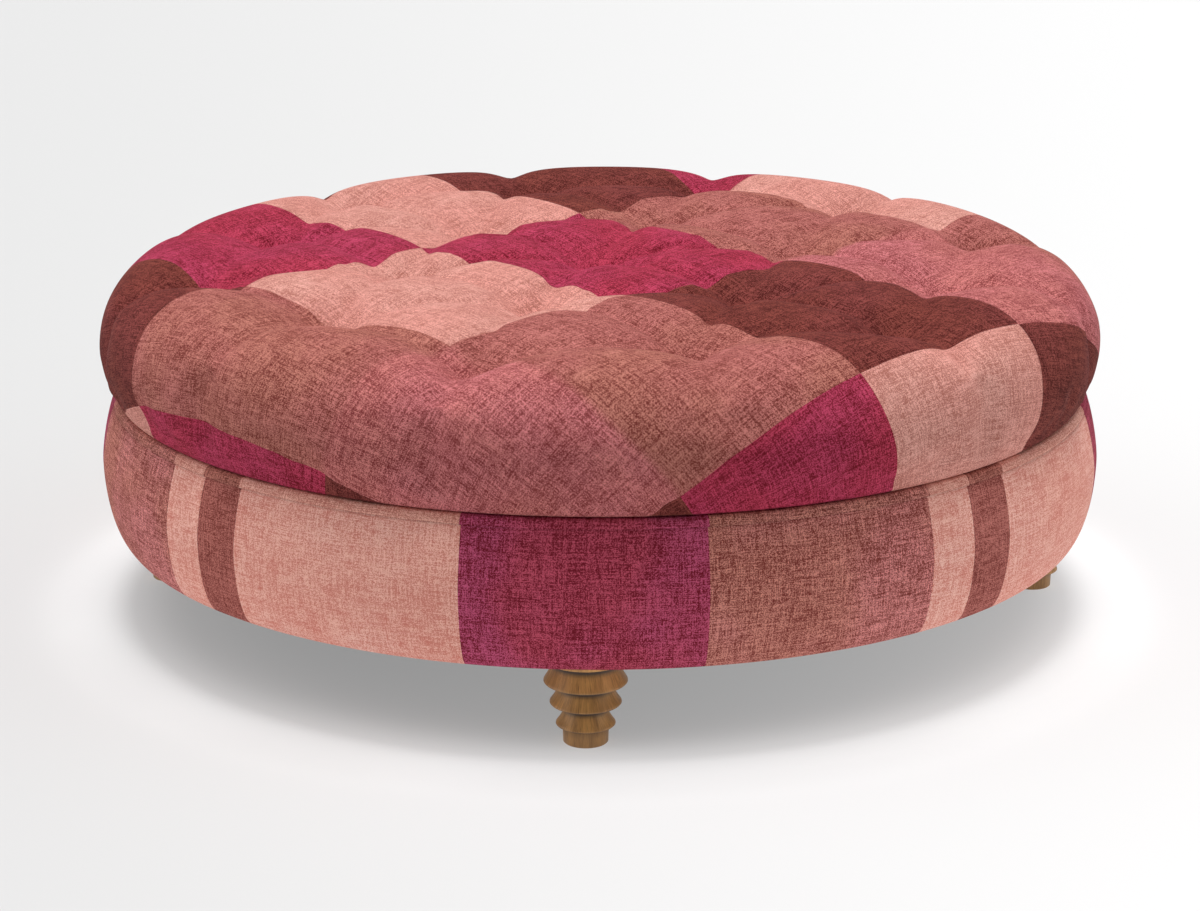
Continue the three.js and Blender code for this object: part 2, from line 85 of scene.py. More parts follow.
def rows(*columns: Any) -> Array:
    """Return points whose coordinates are the columns, one row each."""
    return np.stack(np.broadcast_arrays(*columns), axis=-1)


def arc_lengths(line: Array) -> Array:
    """Return how far along a line in a plane each of its points lies."""
    return np.concatenate([[0], np.cumsum(np.hypot(*np.diff(line, axis=0).T))])


class Socket:
    """Output socket of a shader node, on which Python's operators add Math nodes."""

    def __init__(self, graph: "Graph", socket: bpy.types.NodeSocket) -> None:
        """Wrap a socket of a graph."""
        self.graph = graph
        self.socket = socket

    def output(self, name: str) -> "Socket":
        """Return another output of the same node."""
        return Socket(self.graph, self.socket.node.outputs[name])

    def math(self, operation: str, *values: Value) -> "Socket":
        """Return the result of a Math node with this value first."""
        inputs = dict(enumerate((self, *values)))
        return self.graph.node("ShaderNodeMath", {"operation": operation}, inputs)

    def __add__(self, other: Value) -> "Socket":
        """Return the sum."""
        return self.math("ADD", other)

    def __mul__(self, other: Value) -> "Socket":
        """Return the product."""
        return self.math("MULTIPLY", other)

    __radd__ = __add__
    __rmul__ = __mul__

    def __sub__(self, other: Value) -> "Socket":
        """Return the difference."""
        return self.math("SUBTRACT", other)

    def __rsub__(self, other: float) -> "Socket":
        """Return a number less this value."""
        return self.graph.node("ShaderNodeMath", {"operation": "SUBTRACT"}, {0: other, 1: self})

    def __truediv__(self, other: Value) -> "Socket":
        """Return the quotient."""
        return self.math("DIVIDE", other)

    def __mod__(self, other: Value) -> "Socket":
        """Return the remainder, which is never negative for a positive divisor."""
        return self.math("FLOORED_MODULO", other)

    def __gt__(self, other: Value) -> "Socket":
        """Return 1 where this value is the larger, and 0 elsewhere."""
        return self.math("GREATER_THAN", other)

    def __lt__(self, other: Value) -> "Socket":
        """Return 1 where this value is the smaller, and 0 elsewhere."""
        return self.math("LESS_THAN", other)

    def floor(self) -> "Socket":
        """Return the value rounded down."""
        return self.math("FLOOR")

    def sine(self) -> "Socket":
        """Return the sine of the value in radians."""
        return self.math("SINE")

    def remap(self, start: float, end: float, low: float = 0.0, high: float = 1.0) -> "Socket":
        """Map the range from start to end smoothly onto the one from low to high."""
        inputs = {0: self, 1: start, 2: end, 3: low, 4: high}
        return self.graph.node("ShaderNodeMapRange", {"interpolation_type": "SMOOTHSTEP"}, inputs)


class Graph:
    """Node tree of one material."""

    def __init__(self, name: str) -> None:
        """Start an empty material.

        Args:
            name: The material's name.
        """
        self.material = bpy.data.materials.new(name)
        self.material.use_nodes = True
        self.tree = self.material.node_tree
        self.tree.nodes.clear()

    def node(
        self,
        kind: str,
        settings: Mapping[str, Any] | None = None,
        inputs: Mapping[str | int, Any] | None = None,
        output: str | int = 0,
    ) -> Socket:
        """Add a node with its settings and sockets.

        Args:
            kind: The node's type.
            settings: Attributes of the node, set first.
            inputs: Values or sockets for its inputs, by name or place.
            output: The output to return, by name or place.

        Returns:
            One output of the node, or its first input where it has no output.
        """
        made = self.tree.nodes.new(kind)
        for name, value in (settings or {}).items():
            setattr(made, name, value)
        for name, value in (inputs or {}).items():
            if isinstance(value, Socket):
                self.tree.links.new(value.socket, made.inputs[name])
            else:
                made.inputs[name].default_value = value
        return Socket(self, made.outputs[output] if made.outputs else made.inputs[0])

    def ramp(self, value: Socket, stops: Stops, blend: str = "LINEAR") -> Socket:
        """Add a colour ramp.

        Args:
            value: The ramp's factor.
            stops: Place and linear colour of each stop, in rising order.
            blend: The ramp's interpolation.

        Returns:
            The ramp's colour.
        """
        colour = self.node("ShaderNodeValToRGB", None, {0: value})
        ramp = colour.socket.node.color_ramp
        while len(ramp.elements) < len(stops):
            ramp.elements.new(1.0)
        for element, (place, shade) in zip(ramp.elements, stops):
            element.position = place
            element.color = shade
        ramp.interpolation = blend
        return colour

    def mix(self, factor: Value, first: Any, second: Any) -> Socket:
        """Return a mix of two colours, of which the factor is the second one's share."""
        return self.node("ShaderNodeMix", {"data_type": "RGBA"}, {0: factor, 6: first, 7: second}, 2)

    def vector(self, x: Any, y: Any, z: Any = 0.0) -> Socket:
        """Return a vector made of three values."""
        return self.node("ShaderNodeCombineXYZ", None, {0: x, 1: y, 2: z})

    def noise(self, place: Socket, scale: float = 1.0, detail: float = 2.0, roughness: float = 0.5) -> Socket:
        """Return noise around 0.5, with so many cells for each unit of place and octaves of finer noise."""
        inputs = {"Vector": place, "Scale": scale, "Detail": detail, "Roughness": roughness}
        return self.node("ShaderNodeTexNoise", None, inputs)

    def object_place(self, stretch: tuple[float, float, float] = (1, 1, 1)) -> Socket:
        """Return the place in the object's frame, multiplied along each axis."""
        place = self.node("ShaderNodeTexCoord", None, None, "Object")
        return self.node("ShaderNodeVectorMath", {"operation": "MULTIPLY"}, {0: place, 1: stretch})

    def attribute(self, name: str) -> Socket:
        """Return a vector attribute of the mesh."""
        return self.node("ShaderNodeAttribute", {"attribute_name": name}, None, "Vector")

    def split(self, vector: Socket) -> tuple[Socket, Socket, Socket]:
        """Return the three values of a vector."""
        x = self.node("ShaderNodeSeparateXYZ", None, {0: vector})
        return x, x.output("Y"), x.output("Z")

    def bump(self, height: Socket, distance: float, strength: float = 1.0) -> Socket:
        """Return the normal of a surface whose height is given in shares of a real distance."""
        inputs = {"Height": height, "Distance": distance, "Strength": strength}
        return self.node("ShaderNodeBump", None, inputs)

    def finish(self, inputs: Mapping[str, Any]) -> Material:
        """Close the graph with a surface shader that has these sockets, and return the material."""
        self.close(self.node("ShaderNodeBsdfPrincipled", None, inputs))
        return self.material

    def close(self, shader: Socket) -> None:
        """Let the material show a shader."""
        self.node("ShaderNodeOutputMaterial", None, {"Surface": shader})


@dataclass(frozen=True)
class Dye:
    """Yarn colours of one block of cloth: its ground, its flecks, and flecks where the dye drifts."""

    shade: Colour
    fleck: Colour
    drift: Colour


class Dyes(Enum):
    """The cloth's colours, among them the band's lit copies of the cushion's magenta, brick and pink, which
    hold painted light.
    """

    MAGENTA = Dye((110, 21, 35), (193, 66, 92), (193, 70, 103))
    DARK_BROWN = Dye((72, 24, 22), (143, 72, 68), (140, 71, 62))
    LIGHT_PINK = Dye((170, 106, 95), (226, 168, 156), (228, 161, 150))
    BRICK = Dye((114, 50, 45), (198, 123, 117), (195, 127, 113))
    ROSE = Dye((126, 54, 55), (211, 131, 126), (213, 129, 132))
    # The band's magenta, brick and pink are brighter copies of the cushion's: painted light on the band's
    # side over the same dyes.
    BAND_MAGENTA = Dye((115, 25, 40), (204, 87, 110), (204, 91, 129))
    BAND_BRICK = Dye((129, 59, 54), (230, 148, 145), (219, 146, 130))
    BAND_BROWN = Dye((123, 57, 52), (198, 123, 114), (195, 119, 109))
    BAND_PINK = Dye((215, 130, 116), (250, 200, 186), (250, 194, 178))


@dataclass(frozen=True)
class Linen:
    """Slubby plain-weave linen, read along two directions of the cloth."""

    name: str = "linen"
    thread: float = 0.85 * MM
    slub: float = 28 * MM
    fleck_size: float = 1.7 * MM
    streak_width: float = 4 * MM
    streak_length: float = 50 * MM
    patch_size: float = 22 * MM
    cloud: float = 70 * MM
    drift_size: float = 140 * MM
    middle: float = 0.39
    thread_contrast: float = 2.1
    grain_contrast: float = 1.4
    fleck_contrast: float = 0.5
    streak_contrast: float = 0.9
    patch_contrast: float = 0.6
    cloud_contrast: float = 0.9
    bump_height: float = 0.3 * MM
    roughness: float = 0.9

    def dyes(self, graph: Graph, along: Socket, across: Socket) -> tuple[Socket, Socket, Socket]:
        """Return the shade, fleck and drift colours at a place on the cloth."""
        raise NotImplementedError

    def cloth_place(self, graph: Graph) -> tuple[Socket, Socket]:
        """Return the two places along the cloth, in metres."""
        raise NotImplementedError

    def material(self) -> Material:
        """Make the cloth.

        Returns:
            The material.
        """
        graph = Graph(self.name)
        along, across = self.cloth_place(graph)
        flat = graph.vector(along, across)
        # The third value of a place keeps one noise apart from the next.
        waver = graph.noise(flat, 1 / (4 * self.slub), 1) - 0.5
        warp_place = (along + waver * self.slub / 2) / self.thread
        weft_place = (across + waver * self.slub / 3) / self.thread
        warp = graph.noise(graph.vector(warp_place, across / self.slub, 3), 1, 1, 0.5)
        weft = graph.noise(graph.vector(along / self.slub, weft_place, 11), 1, 1, 0.5)
        crossing = graph.vector(warp_place.floor(), weft_place.floor())
        grain = graph.node("ShaderNodeTexWhiteNoise", {"noise_dimensions": "2D"}, {"Vector": crossing})
        nubs = graph.noise(flat, 1 / self.fleck_size, 1).remap(0.56, 0.72)
        wide = graph.noise(graph.vector(along / self.streak_width, across / self.streak_length, 5), 1, 2)
        long = graph.noise(graph.vector(along / self.streak_length, across / self.streak_width, 7), 1, 2)
        patch = graph.noise(graph.vector(along, across * 2, 13), 1 / self.patch_size, 2)
        cloud = graph.noise(flat, 1 / self.cloud, 3, 0.6)
        drift = graph.noise(graph.vector(along, across, 1), 1 / self.drift_size, 2, 0.5)
        lightness = (
            (grain - 0.5) * self.grain_contrast
            + (warp + weft - 1) * self.thread_contrast
            + nubs * self.fleck_contrast
            + (wide + long - 1) * self.streak_contrast
            + (patch - 0.5) * self.patch_contrast
            + (cloud - 0.5) * self.cloud_contrast
            + self.middle
        ).math("MAXIMUM", 0.0).math("MINIMUM", 1.0)
        shade, fleck, drifted = self.dyes(graph, along, across)
        fleck = graph.mix(drift.remap(0.35, 0.65), fleck, drifted)
        return graph.finish({
            "Base Color": graph.mix(lightness, shade, fleck),
            "Roughness": self.roughness,
            "Specular IOR Level": 0.1,
            "Normal": graph.bump((warp + weft) * 0.5, self.bump_height),
        })


@dataclass(frozen=True)
class CushionLinen(Linen):
    """Patchwork of three by three blocks that repeats, turned by 45 degrees to the front."""

    name: str = "cushion_linen"
    block_length: float = 247.3 * MM
    block_width: float = 332 * MM
    first_length: float = -124.5 * MM
    first_width: float = -163.5 * MM
    lean: float = 0.036
    rim_stretch: float = 0.035
    rim_start: float = 540 * MM
    rim_end: float = 620 * MM
    soft_edge: float = 16 * MM
    pattern_turn: float = -1.642
    blocks: tuple[tuple[Dyes, Dyes, Dyes], ...] = (
        (Dyes.MAGENTA, Dyes.DARK_BROWN, Dyes.LIGHT_PINK),
        (Dyes.BRICK, Dyes.ROSE, Dyes.DARK_BROWN),
        (Dyes.LIGHT_PINK, Dyes.BRICK, Dyes.MAGENTA),
    )

    def cloth_place(self, graph: Graph) -> tuple[Socket, Socket]:
        """Read the places along the two diagonals of the unrolled cushion.

        Args:
            graph: The material's graph.

        Returns:
            Places along and across the cloth, in metres.
        """
        x, y, _ = graph.split(graph.attribute(TuftedCushion.cloth_attribute))
        turn = math.radians(45 - self.pattern_turn)
        across = x * math.sin(turn) - y * math.cos(turn)
        along = x * math.cos(turn) + y * math.sin(turn) + across * self.lean
        reach = (x * x + y * y).math("SQRT")
        return along * reach.remap(self.rim_start, self.rim_end, 1, 1 + self.rim_stretch), across

    def dyes(self, graph: Graph, along: Socket, across: Socket) -> tuple[Socket, Socket, Socket]:
        """Pick the block's colours, with a soft change between rose and brick.

        Args:
            graph: The material's graph.
            along: Places along the cloth.
            across: Places across it.

        Returns:
            The shade, fleck and drift colours there.
        """
        row_place = ((along - self.first_length) / self.block_length) % 3
        column_place = ((across - self.first_width) / self.block_width) % 3
        index = (row_place.floor() * 3 + column_place.floor() + 0.5) / 9
        plain = [Dyes.BRICK if dye is Dyes.ROSE else dye for row in self.blocks for dye in row]

        def pick(colours: Sequence[Sequence[float]]) -> Socket:
            """Return the colour of the block."""
            return graph.ramp(index, [(i / 9, colour) for i, colour in enumerate(colours)], "CONSTANT")

        in_brick = [linear((255, 255, 255) if dye is Dyes.BRICK else (0, 0, 0)) for dye in plain]
        rise = self.soft_edge / self.block_width / 2
        fall = self.soft_edge / self.block_length / 2
        rose = column_place.remap(1 - rise, 1 + rise) * (column_place < 2.5)
        rose = rose * row_place.remap(2 - fall, 2 + fall, 1, 0) * (row_place > 0.5)
        rose = rose * pick(in_brick)
        kinds = zip(*(astuple(dye.value) for dye in plain))
        return tuple(
            graph.mix(rose, pick([linear(colour) for colour in kind]), linear(rosy))
            for kind, rosy in zip(kinds, astuple(Dyes.ROSE.value))
        )


@dataclass(frozen=True)
class BandLinen(Linen):
    """Upright blocks and stripes that repeat four times round the band."""

    name: str = "band_linen"
    radius: float = 550 * MM
    seam_width: float = 1.6 * MM
    seam_dark: float = 0.2
    strip_tan_and_shade: Colour = (172, 122, 102)
    strip_share: float = 0.25
    seam_colour: Colour = (30, 14, 16)
    first_edge: float = -12.65
    edges: tuple[float, ...] = (-12.65, 12.65, 38, 44, 50)
    repeat: float = 90
    blocks: tuple[Dyes, ...] = (
        Dyes.BAND_MAGENTA, Dyes.BAND_BRICK, Dyes.BAND_PINK, Dyes.BAND_BROWN, Dyes.BAND_PINK,
    )
    strip_shift: float = 0.5

    def cloth_place(self, graph: Graph) -> tuple[Socket, Socket]:
        """Return the places round the band and up from the seam under its rim."""
        x, y, _ = graph.split(graph.node("ShaderNodeUVMap", {"uv_map": PaddedBand.cloth_map}))
        return x * (2 * math.pi * self.radius), y

    def dyes(self, graph: Graph, along: Socket, across: Socket) -> tuple[Socket, Socket, Socket]:
        """Pick the stripe's colours, which the strip along the rim shows a little shifted.

        Args:
            graph: The material's graph.
            along: Places along the cloth.
            across: Places across it.

        Returns:
            The shade, fleck and drift colours there.
        """
        degrees = along * (180 / math.pi / self.radius)
        in_strip = across > 0
        shifted = degrees - (degrees * (math.pi / self.repeat)).sine() * in_strip * self.strip_shift
        place = ((shifted - self.first_edge) / self.repeat) % 1
        stops = [(edge - self.first_edge) / self.repeat for edge in self.edges]
        # Along the rim strip, past the magenta, the colour turns darker and tanner: partly the strip's own
        # tan, partly painted shade.
        tan_and_shade_share = in_strip * (place > stops[1]) * self.strip_share
        seam = across.math("ABSOLUTE").remap(0, self.seam_width, self.seam_dark, 0)

        def pick(colours: Sequence[Colour]) -> Socket:
            """Return the colour of the stripe, darker and tanner along the rim strip, partly its own tan and
            partly painted shade, and dark in the seam.
            """
            dyed = graph.ramp(place, list(zip(stops, map(linear, colours))), "CONSTANT")
            tan_and_shade_colour = tuple(channel * sum(colours[1]) / sum(self.strip_tan_and_shade) for channel in self.strip_tan_and_shade)
            return graph.mix(seam, graph.mix(tan_and_shade_share, dyed, linear(tan_and_shade_colour)), linear(self.seam_colour))

        return tuple(map(pick, zip(*(astuple(dye.value) for dye in self.blocks))))


@dataclass(frozen=True)
class TurnedOak:
    """Stained oak turned on a lathe, with the grain along the profile, and painted shade with dark stain in
    its grooves and under its lips.
    """

    name: str = "turned_oak"
    pale: Colour = (226, 166, 94)
    dark: Colour = (154, 106, 54)
    # Colour of the pores, and of the painted shade with stain in the grooves and under the lips.
    groove: Colour = (44, 29, 18)
    relief: float = 0.12 * MM
    fibre_scale: float = 900
    fibre_stretch: float = 0.08
    figure_scale: float = 120
    figure_stretch: float = 0.2
    pore_scale: float = 1800
    pore_stretch: float = 0.05

    def material(self) -> Material:
        """Make the wood.

        Returns:
            The material.
        """
        graph = Graph(self.name)
        x, y, z = graph.split(graph.attribute(TurnedFeet.grain_attribute))
        hollow, _, _ = graph.split(graph.attribute(TurnedFeet.stain_and_shade_attribute))
        fibres = graph.noise(graph.vector(x, y, z * self.fibre_stretch), self.fibre_scale, 3, 0.6)
        figure = graph.noise(graph.vector(x, y, z * self.figure_stretch), self.figure_scale)
        pores = graph.noise(graph.vector(x, y, z * self.pore_stretch), self.pore_scale, 1).remap(0.62, 0.72)
        tone = (fibres * 0.6 + figure * 0.6 - 0.1).remap(0.2, 0.85)
        wood = graph.mix(tone, linear(self.dark), linear(self.pale))
        porous = graph.mix(pores * 0.5, wood, linear(self.groove))
        # Painted shade, with some dark stain, in the grooves, under the lips and at the toe.
        colour = graph.mix(hollow, porous, linear(self.groove))
        return graph.finish({
            "Base Color": colour,
            "Roughness": 0.42 + fibres * 0.15,
            "Coat Weight": 0.15,
            "Coat Roughness": 0.35,
            "Normal": graph.bump(fibres - pores, self.relief, 0.6),
        })


@dataclass(frozen=True)
class Finish:
    """Finish of a hidden piece, whose colour runs through a few shades with one tone."""

    name: str = "finish"
    shades: Shades = ()
    relief: float = 0.1 * MM
    shader: tuple[tuple[str, float], ...] = ()

    def tones(self, graph: Graph) -> Tones:
        """Return the tone that picks the colour, the roughness and the height."""
        raise NotImplementedError

    def shaded(self, graph: Graph, tone: Socket) -> Socket:
        """Return the colour that the shades give a tone."""
        return graph.ramp(tone, [(place, linear(colour)) for place, colour in self.shades])

    def material(self) -> Material:
        """Make the finish.

        Returns:
            The material.
        """
        graph = Graph(self.name)
        tone, roughness, height = self.tones(graph)
        return graph.finish({
            "Base Color": self.shaded(graph, tone),
            "Roughness": roughness,
            "Normal": graph.bump(height, self.relief),
            **dict(self.shader),
        })


@dataclass(frozen=True)
class Plywood(Finish):
    """Birch plywood with plies that show on its edges."""

    name: str = "plywood"
    shades: Shades = ((0.3, (196, 164, 118)), (0.7, (226, 200, 158)))
    edge_shades: tuple[Colour, Colour] = ((150, 112, 72), (212, 182, 138))
    ply: float = 1.5 * MM

    def material(self) -> Material:
        """Make the plywood.

        Returns:
            The material.
        """
        graph = Graph(self.name)
        _, _, height = graph.split(graph.object_place())
        ply = (height / (2 * self.ply)) % 1 > 0.5
        normal = graph.node("ShaderNodeNewGeometry", None, None, "Normal")
        _, _, up = graph.split(normal)
        on_edge = 1 - (up.math("ABSOLUTE") > 0.5)
        grain = graph.noise(graph.object_place((8, 90, 40)), 3, 4, 0.6)
        edge = graph.mix(ply, *map(linear, self.edge_shades))
        return graph.finish({
            "Base Color": graph.mix(on_edge, self.shaded(graph, grain), edge),
            "Roughness": 0.75 + grain * 0.15,
            "Normal": graph.bump(grain, self.relief),
        })


@dataclass(frozen=True)
class Softwood(Finish):
    """Planed pine with wavy growth rings."""

    name: str = "pine"
    shades: Shades = (
        (0.1, (232, 204, 158)), (0.75, (214, 176, 122)), (1.0, (186, 138, 84)),
    )
    relief: float = 0.08 * MM

    def tones(self, graph: Graph) -> Tones:
        """Return the tone, the roughness and the height of the pine.

        Args:
            graph: The material's graph.

        Returns:
            The three sockets.
        """
        place = graph.object_place((1, 1, 0.15))
        waver = graph.noise(place, 9, 2)
        x, y, z = graph.split(place)
        rings = ((x + y * 0.6 + z + waver * 0.05) * 900).sine() * 0.5 + 0.5
        fibres = graph.noise(graph.object_place((60, 60, 6)), 8, 3)
        return rings * 0.7 + fibres * 0.3, 0.7 + fibres * 0.2, rings


@dataclass(frozen=True)
class Hardboard(Finish):
    """Bent fibre board with a mottled face."""

    name: str = "hardboard"
    shades: Shades = ((0.3, (104, 74, 48)), (0.7, (150, 112, 76)))

    def tones(self, graph: Graph) -> Tones:
        """Return the tone, the roughness and the height of the board.

        Args:
            graph: The material's graph.

        Returns:
            The three sockets.
        """
        fibres = graph.noise(graph.object_place(), 700, 3, 0.7)
        mottle = graph.noise(graph.object_place(), 40, 2)
        return fibres * 0.6 + mottle * 0.4, 0.6 + mottle * 0.3, fibres


@dataclass(frozen=True)
class Foam(Finish):
    """Open-cell foam with fine pores."""

    name: str = "foam"
    shades: Shades = ((0.15, (176, 164, 118)), (0.75, (240, 232, 196)))
    relief: float = 0.5 * MM
    cell: float = 1.4 * MM

    def tones(self, graph: Graph) -> Tones:
        """Return the tone, the roughness and the height of the foam.

        Args:
            graph: The material's graph.

        Returns:
            The three values.
        """
        inputs = {"Vector": graph.object_place(), "Scale": 1 / self.cell}
        pores = graph.node("ShaderNodeTexVoronoi", {"feature": "F1"}, inputs)
        aged = graph.noise(graph.object_place(), 14, 2)
        return pores * 0.6 + aged * 0.5, 0.95, pores


@dataclass(frozen=True)
class BlackCambric(Finish):
    """Black bonded cloth with a fine crossed grain."""

    name: str = "black_cambric"
    shades: Shades = ((0.3, (20, 20, 22)), (0.7, (58, 57, 60)))
    relief: float = 0.2 * MM
    shader: tuple[tuple[str, float], ...] = (("Sheen Weight", 0.1),)

    def tones(self, graph: Graph) -> Tones:
        """Return the tone, the roughness and the height of the cloth.

        Args:
            graph: The material's graph.

        Returns:
            The three sockets.
        """
        warp = graph.noise(graph.object_place((1, 0.12, 1)), 900, 2)
        weft = graph.noise(graph.object_place((0.12, 1, 1)), 900, 2)
        crease = graph.noise(graph.object_place(), 7, 3, 0.6)
        threads = (warp + weft) * 0.5
        return threads * 0.7 + crease * 0.3, 0.85 + threads * 0.1, threads


@dataclass(frozen=True)
class Twine(Finish):
    """Waxed upholstery twine with a twist."""

    name: str = "twine"
    shades: Shades = ((0.2, (172, 158, 128)), (0.8, (232, 224, 204)))
    relief: float = 0.2 * MM

    def tones(self, graph: Graph) -> Tones:
        """Return the tone, the roughness and the height of the twine.

        Args:
            graph: The material's graph.

        Returns:
            The three sockets.
        """
        x, y, z = graph.split(graph.object_place())
        twist = ((z * 2.2 + x + y) * 2400).sine() * 0.5 + 0.5
        fuzz = graph.noise(graph.object_place(), 1500, 2)
        return twist * 0.6 + fuzz * 0.4, 0.8 + fuzz * 0.1, twist


@dataclass(frozen=True)
class ZincPlate(Finish):
    """Steel with bright zinc plate and faint tarnish."""

    name: str = "zinc_plate"
    shades: Shades = ((0.3, (176, 180, 184)), (0.7, (206, 208, 210)))
    relief: float = 0.05 * MM
    shader: tuple[tuple[str, float], ...] = (("Metallic", 1.0),)

    def tones(self, graph: Graph) -> Tones:
        """Return the tone, the roughness and the height of the plate."""
        tarnish = graph.noise(graph.object_place(), 160, 3, 0.6)
        return tarnish, 0.25 + tarnish * 0.25, graph.noise(graph.object_place((1, 1, 12)), 500, 2)


class Piece:
    """Helpers for making and placing the pieces."""

    @staticmethod
    def deselect() -> None:
        """Deselect everything, so that an operator acts on the new piece alone."""
        if bpy.context.object and bpy.context.object.mode != "OBJECT":
            bpy.ops.object.mode_set(mode="OBJECT")
        bpy.ops.object.select_all(action="DESELECT")

    @staticmethod
    def select(obj: Object) -> None:
        """Make one object the selected and active one.

        Args:
            obj: The object.
        """
        Piece.deselect()
        obj.select_set(True)
        bpy.context.view_layer.objects.active = obj

    @staticmethod
    def from_mesh(name: str, points: Array, faces: Sequence[Sequence[int]]) -> Object:
        """Make an object from points and faces.

        Args:
            name: Name of the object and its mesh.
            points: One row of x, y and z for each vertex.
            faces: Vertex numbers of each face.

        Returns:
            The new object.
        """
        mesh = bpy.data.meshes.new(name)
        mesh.from_pydata(points.tolist(), [], faces)
        mesh.validate()
        obj = bpy.data.objects.new(name, mesh)
        bpy.context.collection.objects.link(obj)
        mesh.shade_smooth()
        return obj

    @staticmethod
    def read(source: Any, key: str, kind: type = float) -> Array:
        """Read vectors from mesh data.

        Args:
            source: The collection that holds them.
            key: Their name in it.
            kind: Kind of number they are stored as.

        Returns:
            One row for each vector.
        """
        flat = np.empty(len(source) * 3, kind)
        source.foreach_get(key, flat)
        return flat.reshape(-1, 3).astype(float)

    @staticmethod
    def points(obj: Object) -> Array:
        """Return the places of an object's vertices, one row each."""
        return Piece.read(obj.data.vertices, "co")

    @staticmethod
    def move_points(obj: Object, points: Array) -> None:
        """Put an object's vertices at new places."""
        obj.data.vertices.foreach_set("co", points.ravel())
        obj.data.update()

    @staticmethod
    def set_attribute(obj: Object, name: str, values: Array) -> None:
        """Store a vector for each vertex under a name."""
        attribute = obj.data.attributes.new(name, "FLOAT_VECTOR", "POINT")
        attribute.data.foreach_set("vector", values.astype(np.float32).ravel())

    @staticmethod
    def get_attribute(obj: Object, name: str) -> Array:
        """Return the vectors stored under a name."""
        return Piece.read(obj.data.attributes[name].data, "vector", np.float32)

    @staticmethod
    def subdivide(obj: Object) -> None:
        """Apply one level of a subdivision surface.

        Args:
            obj: The object.
        """
        Piece.select(obj)
        modifier = obj.modifiers.new("fine", "SUBSURF")
        modifier.levels = modifier.render_levels = 1
        bpy.ops.object.modifier_apply(modifier=modifier.name)

    @staticmethod
    def face_outwards() -> None:
        """Turn the faces of the mesh in edit mode outwards, and leave edit mode."""
        bpy.ops.mesh.select_all(action="SELECT")
        bpy.ops.mesh.normals_make_consistent(inside=False)
        bpy.ops.object.mode_set(mode="OBJECT")

    @staticmethod
    def finish(obj: Object, material: Material, slot: str, node: str) -> None:
        """Dress a piece and let it ride with the tuffet.

        Args:
            obj: The piece.
            material: Its only material.
            slot: Not used.
            node: The node of the model that it stands for.
        """
        obj.data.materials.clear()
        obj.data.materials.append(material)
        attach(obj, ROOT)
        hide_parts(node)
        log.info("%s: %d vertices", obj.name, len(obj.data.vertices))


